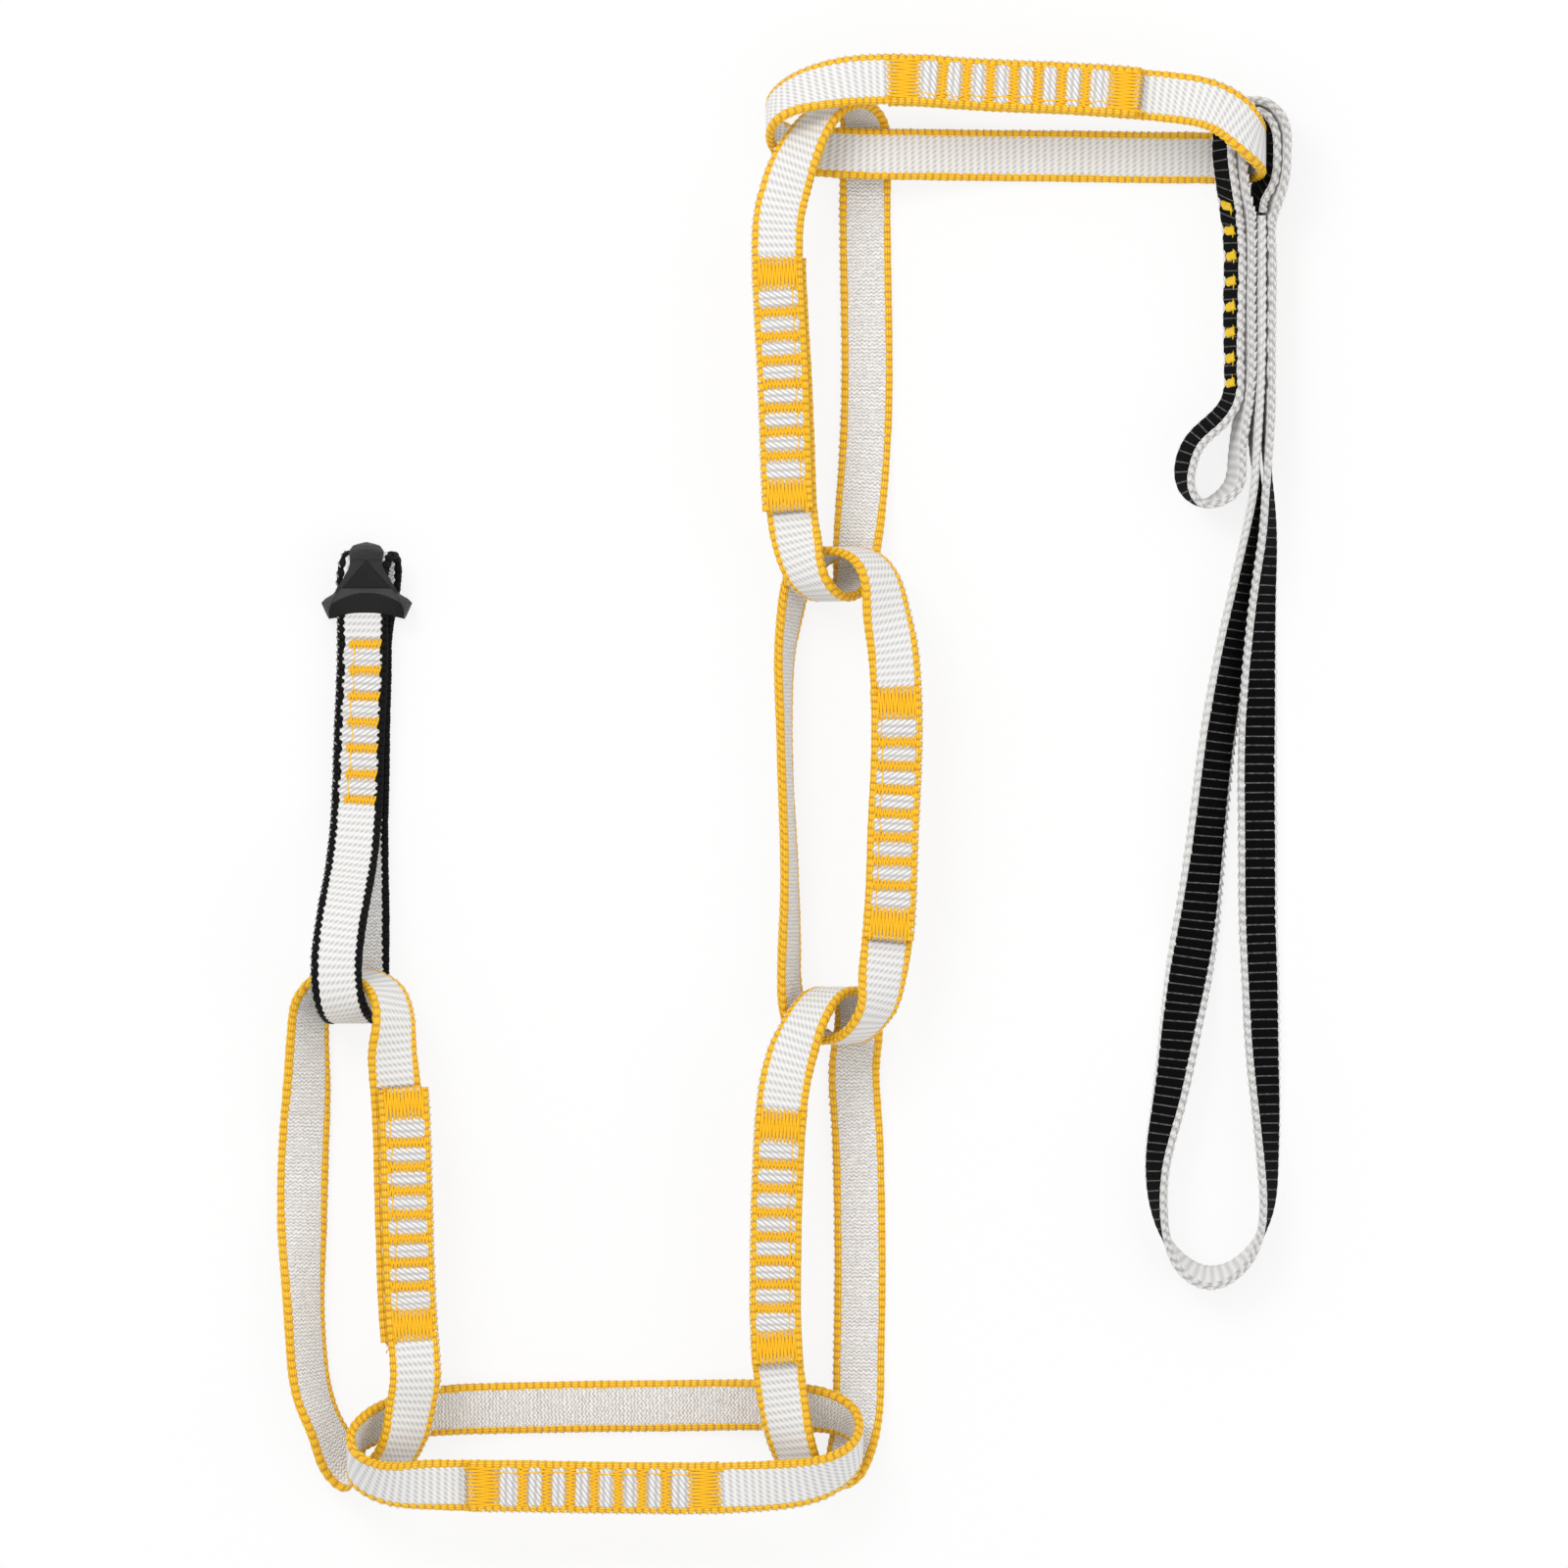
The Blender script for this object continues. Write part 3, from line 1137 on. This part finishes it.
def keeper_form(lower_end):
    """The moulded keeper, rings up the eye of a top face over flat sides. Between two ridges that part
    at an apex, the top falls as a pyramid, then a band, then a skirt below an arc, which grows with
    x^2; beyond the ridges it falls in a straight line to the edge. The rim is drawn up in the middle."""
    t = np.linspace(0, 1, KEEPER_MESH[0])[:, None]
    (half, edge), (ridge, crest) = (
        [np.interp(t, *np.array(rows)[:, [0, k]].T) for k in (1, 2)]
        for rows in (KEEPER_shares, KEEPER_FRONT_shares)
    )
    k = np.linspace(-1, 1, KEEPER_MESH[1])
    inner, outer = np.clip(2 * abs(k), 0, 1), np.clip(2 * abs(k) - 1, 0, 1)
    x = np.sign(k) * (ridge * inner + (half - ridge) * outer) * KEEPER_WIDTH
    arc = KEEPER_ARC_shares[0] + KEEPER_ARC_shares[1] * (x / KEEPER_WIDTH) ** 2
    start, end = KEEPER_PYRAMID_shares
    fall = KEEPER_FALL * np.clip((arc - t) / arc, 0, 1) ** KEEPER_FALL_EASE * (1 - outer)
    bulge = KEEPER_BULGE * (1 - inner) * eased((t - start) / KEEPER_BULGE_EASE_share) * (t < end)
    from_ridge = (abs(x) - ridge * KEEPER_WIDTH) / KEEPER_LIP_WIDTH
    lip = KEEPER_LIP * np.exp(-(from_ridge**2)) * (t < KEEPER_LIP_END_share)
    flank = outer ** np.where(t > KEEPER_HOOD_share, KEEPER_ROUNDS[1], KEEPER_ROUNDS[0])
    z = (crest + (edge - crest) * flank) * KEEPER_HEIGHT - fall + bulge + lip
    smooth = (t < arc) | ((inner < 1) & (t > start) & (t < end))
    band = (outer <= 0) & (t >= arc) & (t <= KEEPER_BAND_TOP_share)
    front = np.where(smooth, 1, np.where(band, 2, 0))[:-1]
    looks = np.concatenate([front, 0 * front], axis=1)[None]
    arch = np.clip(1 - abs(x / (KEEPER_ARCH_share * KEEPER_WIDTH)) ** 3, 0, 1) * (1 - t) ** 4
    top = np.stack([x, t * KEEPER_LENGTH + KEEPER_ARCH * arch, np.maximum(z, KEEPER_RIM)], axis=-1)
    under = top[:, ::-1] * (1, 1, 0) + KEEPER_UNDER_share * KEEPER_RIM * UP
    points = np.concatenate([top, under], axis=1) + lower_end + in_plan(KEEPER_ASIDE, KEEPER_START)
    across = np.linspace(0, 2 * KEEPER_WIDTH, points.shape[1] + 1)
    return points[None], (t[:, 0] * KEEPER_LENGTH)[None], across, looks


# Materials


def add_node(tree, kind, *inputs, **settings):
    """Adds a node with its settings and its inputs, given in order, or in a dict by name or number.
    Each is set to a value or linked to a socket; a node stands for its first output."""
    made = tree.nodes.new(f"ShaderNode{kind}")
    for name, value in settings.items():
        setattr(made, name, value)
    named = inputs[0] if inputs and isinstance(inputs[0], dict) else dict(enumerate(inputs))
    for key, value in named.items():
        value = value.outputs[0] if isinstance(value, bpy.types.Node) else value
        if isinstance(value, bpy.types.NodeSocket):
            tree.links.new(value, made.inputs[key])
        else:
            made.inputs[key].default_value = value
    return made


def finish(name, light, dark, roughness, specular, relief, build):
    """A material between two colours, light where the share is 0 and dark where it is 1. The build
    function works out that share and the bump's height from the weave's millimetres across and
    along; relief is the bump's depth in millimetres."""
    material = bpy.data.materials.new(name)
    material.use_nodes = True
    tree = material.node_tree
    shader = tree.nodes["Principled BSDF"]
    shader.inputs["Roughness"].default_value = roughness
    shader.inputs["Specular IOR Level"].default_value = specular
    split = add_node(tree, "SeparateXYZ", add_node(tree, "UVMap", uv_map="weave"))
    share, height = build(tree, split.outputs[0], split.outputs[1])
    shades = {0: share, 6: (*light, 1), 7: (*dark, 1)}
    mixed = add_node(tree, "Mix", shades, data_type="RGBA")
    tree.links.new(mixed.outputs[2], shader.inputs["Base Color"])
    bumped = add_node(tree, "Bump", {"Height": height, "Distance": relief * MM})
    tree.links.new(bumped.outputs[0], shader.inputs["Normal"])
    return material


def groove(tree, value, pitch, width):
    """1 at each multiple of the pitch, falling smoothly to 0 at the width on both sides of it."""
    near = add_node(tree, "Math", value, pitch / 2, operation="PINGPONG")
    return add_node(tree, "MapRange", near, 0.0, width, 1.0, 0.0, interpolation_type="SMOOTHSTEP")


def streaks(tree, u, v, across, along, detail=3.0):
    """Noise in millimetres, stretched along the yarn by its two frequencies."""
    x = add_node(tree, "Math", u, across, operation="MULTIPLY")
    y = add_node(tree, "Math", v, along, operation="MULTIPLY")
    spot = add_node(tree, "CombineXYZ", x, y)
    return add_node(tree, "TexNoise", {"Vector": spot, "Scale": 1.0, "Detail": detail})


def varied(tree, share, noise, amount):
    """The share, with noise about its middle added to it."""
    about = add_node(tree, "Math", noise, 0.5, operation="SUBTRACT")
    return add_node(tree, "Math", about, amount, share, operation="MULTIPLY_ADD")


def ribbed_cloth(name, light, dark, pitch, band, yarn, slant, depth, gaps):
    """Woven nylon webbing, its outer face: warp floats lie side by side over each rib, so the eye
    sees bright smooth ribs, and rows of fine slanted dots in the grooves between them. The real yarns
    lie about 0.5 mm apart; they are drawn 0.9 to 1.6 mm apart so that they show."""

    def build(tree, u, v):
        valley = groove(tree, v, pitch / MM, band)
        across = add_node(tree, "Math", u, 1 / yarn, operation="MULTIPLY")
        turned = add_node(tree, "Math", v, slant, across, operation="MULTIPLY_ADD")
        near = add_node(tree, "Math", turned, 0.5, operation="PINGPONG")
        gap = add_node(tree, "Math", near, -2.0, 1.0, operation="MULTIPLY_ADD")
        dot = add_node(tree, "Math", gap, depth, 1.0 - depth, operation="MULTIPLY_ADD")
        dots = add_node(tree, "Math", valley, dot, operation="MULTIPLY")
        narrow = add_node(tree, "Math", gap, 1.5, operation="POWER")
        share = add_node(tree, "Math", narrow, gaps, dots, operation="MULTIPLY_ADD")
        noise = streaks(tree, u, v, 5.0, 0.9)
        fibres = add_node(tree, "Math", noise, 0.4, operation="MULTIPLY")
        height = add_node(tree, "Math", gap, -0.6, fibres, operation="MULTIPLY_ADD")
        return varied(tree, share, noise, 0.25), height

    return finish(name, light, dark, 0.62, 0.35, 0.12, build)


def black_cloth(name, light, dark, pitch):
    """Woven black webbing: close flat ribs, which the eye sees as black bars between thin broken grey
    lines, where the light catches the weft in the grooves."""

    def build(tree, u, v):
        valley = groove(tree, v, pitch / MM, 0.26)
        broken = streaks(tree, u, v, 0.7, 2.5)
        weft = groove(tree, u, 0.42, 0.21)
        picks = add_node(tree, "Math", weft, -0.5, 1.0, operation="MULTIPLY_ADD")
        line = add_node(tree, "Math", valley, picks, operation="MULTIPLY")
        patches = add_node(tree, "Math", broken, 2.2, -0.5, operation="MULTIPLY_ADD")
        caught = add_node(tree, "Math", line, patches, operation="MULTIPLY")
        share = add_node(tree, "Math", caught, 0.0, operation="MAXIMUM")
        low = add_node(tree, "Math", weft, 0.3, operation="MULTIPLY")
        return share, add_node(tree, "Math", broken, 0.5, low, operation="MULTIPLY_ADD")

    return finish(name, light, dark, 0.8, 0.03, 0.10, build)


def crepe_cloth(name, light, dark):
    """Woven nylon webbing, its inner face: short floats in a broken twill, which the eye sees as a
    crepe of fine chevron rows with glinting dots. The rows are drawn 0.92 mm apart, about twice as
    coarse as the real ones, so that they show."""

    def build(tree, u, v):
        chevron = add_node(tree, "Math", u, 0.62, operation="PINGPONG")
        wander = streaks(tree, u, v, 0.5, 0.5)
        bent = add_node(tree, "Math", chevron, 0.8, v, operation="MULTIPLY_ADD")
        moved = add_node(tree, "Math", bent, wander, operation="ADD")
        near = add_node(tree, "Math", moved, 0.459, operation="PINGPONG")
        rows = add_node(tree, "Math", near, 1 / 0.459, operation="MULTIPLY")
        grain = streaks(tree, u, v, 1.5, 2.2, 4.0)
        height = add_node(tree, "Math", grain, 1.3, rows, operation="MULTIPLY_ADD")
        return add_node(tree, "MapRange", height, 1.45, 0.55, 0.0, 1.0), height

    return finish(name, light, dark, 0.5, 0.4, 0.22, build)


def corded_yarn(name, light, dark, pitch, gap, thread, roughness=0.36, specular=0.5):
    """Corded selvedge: hard-twisted yarns that float over each weft turn, which the eye sees as short
    glossy bars with deep colour between them, slanted as the cord's beads are. The threads side by
    side in a bar are drawn EDGE_THREAD mm apart, about twice as coarse as the real ones."""

    def build(tree, u, v):
        angle = add_node(tree, "Math", u, MM / EDGE_RADIUS, operation="MULTIPLY")
        rise = add_node(tree, "Math", angle, operation="SINE")
        square = add_node(tree, "Math", rise, rise, BEAD_TURN, operation="MULTIPLY_ADD")
        size = add_node(tree, "Math", square, operation="SQRT")
        column = add_node(tree, "Math", rise, size, operation="DIVIDE")
        slant = BEAD_SLANT_share * pitch / MM
        turned = add_node(tree, "Math", column, slant, v, operation="MULTIPLY_ADD")
        gaps = groove(tree, turned, pitch / MM, gap)
        threads = groove(tree, u, EDGE_THREAD, 0.2)
        noise = streaks(tree, u, v, 6.0, 1.8)
        between = add_node(tree, "Math", threads, thread, operation="MULTIPLY")
        share = add_node(tree, "Math", gaps, between, operation="MAXIMUM")
        fibres = add_node(tree, "Math", noise, 0.6, operation="MULTIPLY")
        height = add_node(tree, "Math", threads, -1.0, fibres, operation="MULTIPLY_ADD")
        return varied(tree, share, noise, 1.0), height

    return finish(name, light, dark, roughness, specular, 0.14, build)


def sewing_thread(name, light, dark):
    """Bonded polyester sewing thread, laid in satin passes: glossy, and deeper in colour where each
    pass dives into the cloth."""

    def build(tree, u, v):
        turned = add_node(tree, "Math", v, 1.4, u, operation="MULTIPLY_ADD")
        twist = add_node(tree, "Math", turned, 0.35, operation="PINGPONG")
        noise = streaks(tree, u, v, 5.0, 1.2)
        share = add_node(tree, "Math", noise, 1.1, -0.3, operation="MULTIPLY_ADD")
        return share, add_node(tree, "Math", twist, 1.2, noise, operation="MULTIPLY_ADD")

    return finish(name, light, dark, 0.36, 0.3, 0.06, build)


def weft_turn(name, light, dark):
    """The weft's turns at the selvedge: bright smooth filament yarn, streaked along its length."""

    def build(tree, u, v):
        noise = streaks(tree, u, v, 6.0, 1.0)
        return noise, noise

    return finish(name, light, dark, 0.45, 0.4, 0.03, build)


def moulded_rubber(name, light, dark):
    """Moulded thermoplastic rubber: dead matt with a spark-eroded grain, a little paler where light
    rubs off its ridges. The grain is drawn 0.25 mm across, coarser than the real one."""

    def build(tree, u, v):
        place = add_node(tree, "TexCoord").outputs["Object"]
        grain = add_node(tree, "TexNoise", {"Vector": place, "Scale": 4200.0, "Detail": 2.0})
        ridge = add_node(tree, "NewGeometry").outputs["Pointiness"]
        worn = add_node(tree, "MapRange", ridge, 0.505, 0.54, 0.0, 0.5)
        return add_node(tree, "Math", grain, worn, operation="SUBTRACT"), grain

    return finish(name, light, dark, 0.5, 0.2, 0.05, build)


def chain_looks():
    """The materials, made once and found again by name: under each maker the piece's key, then the
    material's name, its light and dark colour or its code, and the maker's own sizes in order."""
    colours, sizes = bpy.context.scene.chain_colours, bpy.context.scene.chain_sizes
    white, pitch, wide = colours.white_yarn, sizes.rib_pitch, sizes.black_pitch
    inner, amber = (colours.inner_yarn, colours.inner_shade), colours.yellow_shade
    makers = {
        ribbed_cloth: {
            "outer": ("woven_white_ribs", white, colours.groove_grey, pitch, 0.85, 1.2, -0.6, 0.8, 0.3),
            "sewn": ("woven_white_ribs_sewn", "F4F3F1", "BBB8B6", pitch, 0.6, 1.6, -0.85, 0.4, 1.1),
            "white_ribs": ("woven_white_inside", white, "D0CECC", wide, 1.15, 0.9, 0.4, 0.3, 0.15),
        },
        crepe_cloth: {"inner": ("woven_white_crepe", *inner)},
        black_cloth: {"black_ribs": ("woven_black_ribs", colours.black_yarn, "8A8A8C", wide)},
        corded_yarn: {
            "yellow_edge": ("corded_yellow_selvedge", colours.yellow_yarn, amber, pitch, 0.6, 0.5, 0.28, 0.5),
            "black_edge": ("corded_black_selvedge", "161617", "020202", pitch, 0.6, 0.4, 0.6, 0.08),
            "beaded_edge": ("braided_white_selvedge", "ECEBEA", "BDBBB9", wide, 1.1, 0.3, 0.45),
            "smooth_edge": ("smooth_white_selvedge", white, "D2D0CE", wide, 0.8, 0.4, 0.45),
        },
        sewing_thread: {
            "lemon_thread": ("satin_lemon_thread", "F6D21A", "DDA80C"),
            "thread": ("satin_yellow_thread", colours.yellow_thread, "E09A04"),
        },
        weft_turn: {
            "fleck": ("white_weft_turns", white, "D9D6D3"),
            "black_fleck": ("grey_weft_turns", "B9B8B6", "5A5A5A"),
        },
        moulded_rubber: {
            "rubber": ("moulded_rubber", colours.rubber, "303031"),
            "smooth_rubber": ("moulded_rubber_smooth", "101011", "1A1A1B"),
            "rubbed_rubber": ("moulded_rubber_rubbed", "2F2F30", "4A4A4B"),
        },
    }
    made = {}
    for maker, rows in makers.items():
        for key, (name, light, dark, *own) in rows.items():
            shades = [linear(c) if isinstance(c, str) else tuple(c) for c in (light, dark)]
            made[key] = bpy.data.materials.get(name) or maker(name, *shades, *own)
    return made


# The pieces


def centred(count):
    """Whole steps about a middle: 0 to count - 1, less half of count - 1."""
    return np.arange(count) - (count - 1) / 2


def end_sling_place():
    """The end sling's lower end, from link 6's end."""
    return chain_links()[-1].end + WEB_WIDTH * in_plan(*END_SLING_AT_shares)


class CHAIN_OT_links(bpy.types.Operator):
    """Weaves the six links with their selvedges and bar tacks"""

    bl_idname = "chain.links"
    bl_label = "Links"
    bl_options = {"REGISTER", "UNDO"}

    def execute(self, context):
        sizes, looks = context.scene.chain_sizes, chain_looks()
        looks = {**looks, "near_edge": looks["yellow_edge"], "far_edge": looks["yellow_edge"]}
        looks["flecked"] = "near"
        weave = Weave(sizes, WEB_WIDTH, sizes.rib_pitch, sizes.edge_width)
        rest = PLY_PITCH / 2 + WEB_THICK / 2 - STITCH_SINK
        strip_seed, sewing_seed, inner_seed = LINK_SEEDS
        for number, link in enumerate(chain_links(), 1):
            name, line = f"link_{number}", link.line
            narrow = link.middle + centred(NARROW_TACKS) * NARROW_PITCH
            wide = [link.first + WIDE_TACK / 2, link.last - WIDE_TACK / 2]
            rows = [(narrow, sizes.tack_length / 2), (wide, WIDE_TACK / 2)]
            ends, seed = (link.first, line.length + link.last), strip_seed * number
            strip = Strip(line, *ends, weave, seed, link.out, rows, link.ply, link.slip)
            low = (line.points[:, 2] < LOW_RUN_share * WEB_WIDTH).astype(float)
            ribbed = (line.read(strip.at, low) > 0.5) & (number == 1)
            dress_strip(name, strip, looks, ("white_webbing", "yellow_stitching"), ribbed)
            for face, way in (("outer", 1), ("inner", -1)):
                seed = sewing_seed * number + inner_seed * (face == "inner")
                aside = -link.slip * way
                sewing = Stitching(line, way * link.out, rest, aside, sizes.tack_width, 1, sizes, seed)
                sewing.row(f"{name}_{face}", narrow, sizes.tack_length, looks, name, NARROW_PITCH)
                for end, (place, centre) in enumerate(zip(("first", "last"), wide)):
                    sewing.block(f"{name}_{place}_{face}_end", centre, end, looks, name)
        return {"FINISHED"}


class CHAIN_OT_end_sling(bpy.types.Operator):
    """Weaves the end sling with its black selvedges and narrow bar tacks"""

    bl_idname = "chain.end_sling"
    bl_label = "End sling"
    bl_options = {"REGISTER", "UNDO"}

    def execute(self, context):
        sizes, looks = context.scene.chain_sizes, chain_looks()
        name, lower_end = "end_sling", end_sling_place()
        line = end_sling_line(lower_end)
        heights = lower_end[1] + END_TACKS_MIDDLE + centred(NARROW_TACKS) * END_TACK_PITCH
        places, front = [(lower_end[0], y) for y in heights], line.normals[:, 2] < 0
        centres = {"front": line.row(places, front), "back": line.row(places, ~front)}
        rows = [(row, END_STITCH / 2) for row in centres.values()]
        edge = sizes.black_edge_width
        weave = Weave(sizes, WEB_WIDTH, sizes.rib_pitch, edge, lobes=END_LOBES_share)
        strip_seed, sewing_seed = END_SLING_SEEDS
        strip = Strip(line, -BUTT_LAP, line.length + BUTT_LAP, weave, strip_seed, -1.0, rows)
        black = {key: looks["black_edge"] for key in ("near_edge", "far_edge")}
        looks = {**looks, **black, "fleck": looks["black_fleck"], "flecked": "near"}
        dress_strip(name, strip, looks, ("white_webbing", "black_webbing"))
        rest = WEB_THICK / 2 - STITCH_SINK
        for face, row in centres.items():
            shape, seed = (END_TACK_ASIDE, END_TACK_WIDTH, -1), sewing_seed + len(face)
            sewing = Stitching(line, -1.0, rest, *shape, sizes, seed)
            sewing.row(f"{name}_{face}", row, END_STITCH, looks, name)
        return {"FINISHED"}


class CHAIN_OT_keeper(bpy.types.Operator):
    """Moulds the rubber keeper on the end sling's eye"""

    bl_idname = "chain.keeper"
    bl_label = "Rubber keeper"
    bl_options = {"REGISTER", "UNDO"}

    def execute(self, context):
        looks, hood = chain_looks(), Surface()
        hood.add(*keeper_form(end_sling_place()))
        finishes = [looks[key] for key in ("rubber", "smooth_rubber", "rubbed_rubber")]
        hood.build("rubber_hood", finishes, "end_sling", "black_rubber", "rubber_keeper")
        return {"FINISHED"}


class CHAIN_OT_tie_in(bpy.types.Operator):
    """Weaves the tie-in sling with its black face, white selvedges and bar tacks"""

    bl_idname = "chain.tie_in"
    bl_label = "Tie-in sling"
    bl_options = {"REGISTER", "UNDO"}

    def execute(self, context):
        sizes, looks, name = context.scene.chain_sizes, chain_looks(), "tie_in_sling"
        eye_top = chain_links()[0].end + WEB_WIDTH * in_plan(*TIE_EYE_AT_shares)
        line = tie_in_line(eye_top)
        aside = (TIE_PLIES - 1) / 2 * PLY_PITCH / math.cos(math.radians(TIE_LEAN))
        heights = eye_top[1] - TIE_TACK_FIRST - np.arange(TIE_TACKS) * TIE_TACK_PITCH
        centres = {
            face: line.row([(eye_top[0] + way * aside, y) for y in heights])
            for face, way in (("left", -1), ("right", 1))
        }
        rows = [(row, TIE_STITCH / 2) for row in centres.values()]
        shape = (TIE_WIDTH, sizes.black_pitch, sizes.tie_edge_width, TIE_BEAD_share)
        weave = Weave(sizes, *shape, thick=TIE_EDGE_share, mesh=TIE_MESH)
        strip_seed, sewing_seed = TIE_SEEDS
        strip = Strip(line, 0.0, line.length, weave, strip_seed, 1.0, rows)
        strip.sewn = 0 * strip.sewn  # its sewn part stands on edge, so it isn't puffed or finished apart
        looks = {
            **looks,
            "outer": looks["black_ribs"],
            "inner": looks["white_ribs"],
            "near_edge": looks["smooth_edge"],
            "far_edge": looks["beaded_edge"],
            "thread": looks["lemon_thread"],
            "flecked": "far",
        }
        dress_strip(name, strip, looks, ("black_webbing", "white_webbing"))
        rest, sunk = WEB_THICK / 2 - STITCH_SINK, TIE_STITCH_SUNK
        for face, row in centres.items():
            seed = sewing_seed + len(face)
            sewing = Stitching(line, 1.0, rest, 0.0, TIE_STITCH_WIDTH, 1, sizes, seed, TIE_SHEAR, sunk)
            sewing.row(f"{name}_{face}", row, TIE_STITCH, looks, name)
        return {"FINISHED"}


def seen_ray(tree):
    """1 for rays that come from the camera, or that gloss or glass sends on."""
    path = add_node(tree, "LightPath").outputs
    seen = add_node(tree, "Math", path["Is Camera Ray"], path["Is Glossy Ray"], operation="MAXIMUM")
    return add_node(tree, "Math", seen, path["Is Transmission Ray"], operation="MAXIMUM")


class CHAIN_OT_studio(bpy.types.Operator):
    """Sets the floor, the soft light and the camera straight above"""

    bl_idname = "chain.studio"
    bl_label = "Studio"

    def execute(self, context):
        studio, scene = context.scene.chain_studio, context.scene
        scene.view_settings.view_transform = "Standard"
        mesh = bpy.data.meshes.new("floor")
        corners = [(x, y, CAD_BOX[0][2] - FLOOR_GAP) for x, y in FLOOR_CORNERS]
        mesh.from_pydata(corners, [], [(0, 1, 2, 3)])
        floor = bpy.data.objects.new("floor", mesh)
        scene.collection.objects.link(floor)
        material = bpy.data.materials.new("pale_floor")
        material.use_nodes = True
        tree = material.node_tree
        tree.nodes.clear()
        paper = add_node(tree, "BsdfDiffuse", (*linear("F2F2F2"), 1))
        glow = add_node(tree, "Emission", (1, 1, 1, 1), 1.0)
        pale = add_node(tree, "MixShader", FLOOR_GLOW, paper, glow)
        mixed = add_node(tree, "MixShader", seen_ray(tree), paper, pale)
        add_node(tree, "OutputMaterial", mixed)
        mesh.materials.append(material)
        self.light(scene, studio)
        camera = bpy.data.cameras.new("camera")
        camera.sensor_width = CAMERA_SENSOR
        camera.lens = camera.sensor_width * studio.camera_height / studio.frame_width
        camera.clip_end = CAMERA_REACH
        made = bpy.data.objects.new("camera", camera)
        made.location = (0.0, 0.0, studio.camera_height)
        scene.collection.objects.link(made)
        scene.camera = made
        return {"FINISHED"}

    def light(self, scene, studio):
        """A white surround for the fill and two large soft lamps: a key and a weaker one across."""
        world = scene.world or bpy.data.worlds.new("surround")
        scene.world = world
        world.use_nodes = True
        tree = world.node_tree
        tree.nodes.clear()
        white = (1, 1, 1, 1)
        fill = add_node(tree, "Background", white, studio.sky_strength)
        seen = add_node(tree, "Background", white, 1.0)
        both = add_node(tree, "MixShader", seen_ray(tree), fill, seen)
        add_node(tree, "OutputWorld", both)
        for name, place, size, share in LAMPS:
            lamp = bpy.data.lights.new(name, "AREA")
            lamp.shape, lamp.size, lamp.energy = "DISK", size, studio.key_power * share
            made = bpy.data.objects.new(name, lamp)
            made.location = place
            away = np.array(place) / np.linalg.norm(place)
            turn = math.atan2(away[1], away[0]) + math.pi / 2
            made.rotation_euler = (math.acos(away[2]), 0.0, turn)
            scene.collection.objects.link(made)


class CHAIN_PT_panel(bpy.types.Panel):
    """The chain's pieces, sizes and colours in the sidebar"""

    bl_label = "Daisy chain"
    bl_idname = "CHAIN_PT_panel"
    bl_space_type = "VIEW_3D"
    bl_region_type = "UI"
    bl_category = "Daisy chain"

    def draw(self, context):
        for operator in OPERATORS:
            self.layout.operator(operator.bl_idname)
        for key, group in GROUPS.items():
            for name in group.__annotations__:
                self.layout.prop(getattr(context.scene, key), name)


OPERATORS = (CHAIN_OT_links, CHAIN_OT_end_sling, CHAIN_OT_keeper, CHAIN_OT_tie_in, CHAIN_OT_studio)
GROUPS = {"chain_sizes": ChainSizes, "chain_colours": ChainColours, "chain_studio": StudioLight}


def register():
    """Registers the classes and hangs their properties on the scene."""
    for one in (*GROUPS.values(), *OPERATORS, CHAIN_PT_panel):
        bpy.utils.register_class(one)
    for name, group in GROUPS.items():
        setattr(bpy.types.Scene, name, PointerProperty(type=group))


def unregister():
    """Takes the properties and the classes away again."""
    for name in GROUPS:
        delattr(bpy.types.Scene, name)
    for one in (CHAIN_PT_panel, *OPERATORS[::-1], *GROUPS.values()):
        bpy.utils.unregister_class(one)


def main():
    """Registers the add-on's classes, makes every piece and writes how big it all became."""
    register()
    bpy.ops.chain.links()
    bpy.ops.chain.end_sling()
    bpy.ops.chain.keeper()
    bpy.ops.chain.tie_in()
    bpy.ops.chain.studio()


if __name__ == "__main__":
    main()
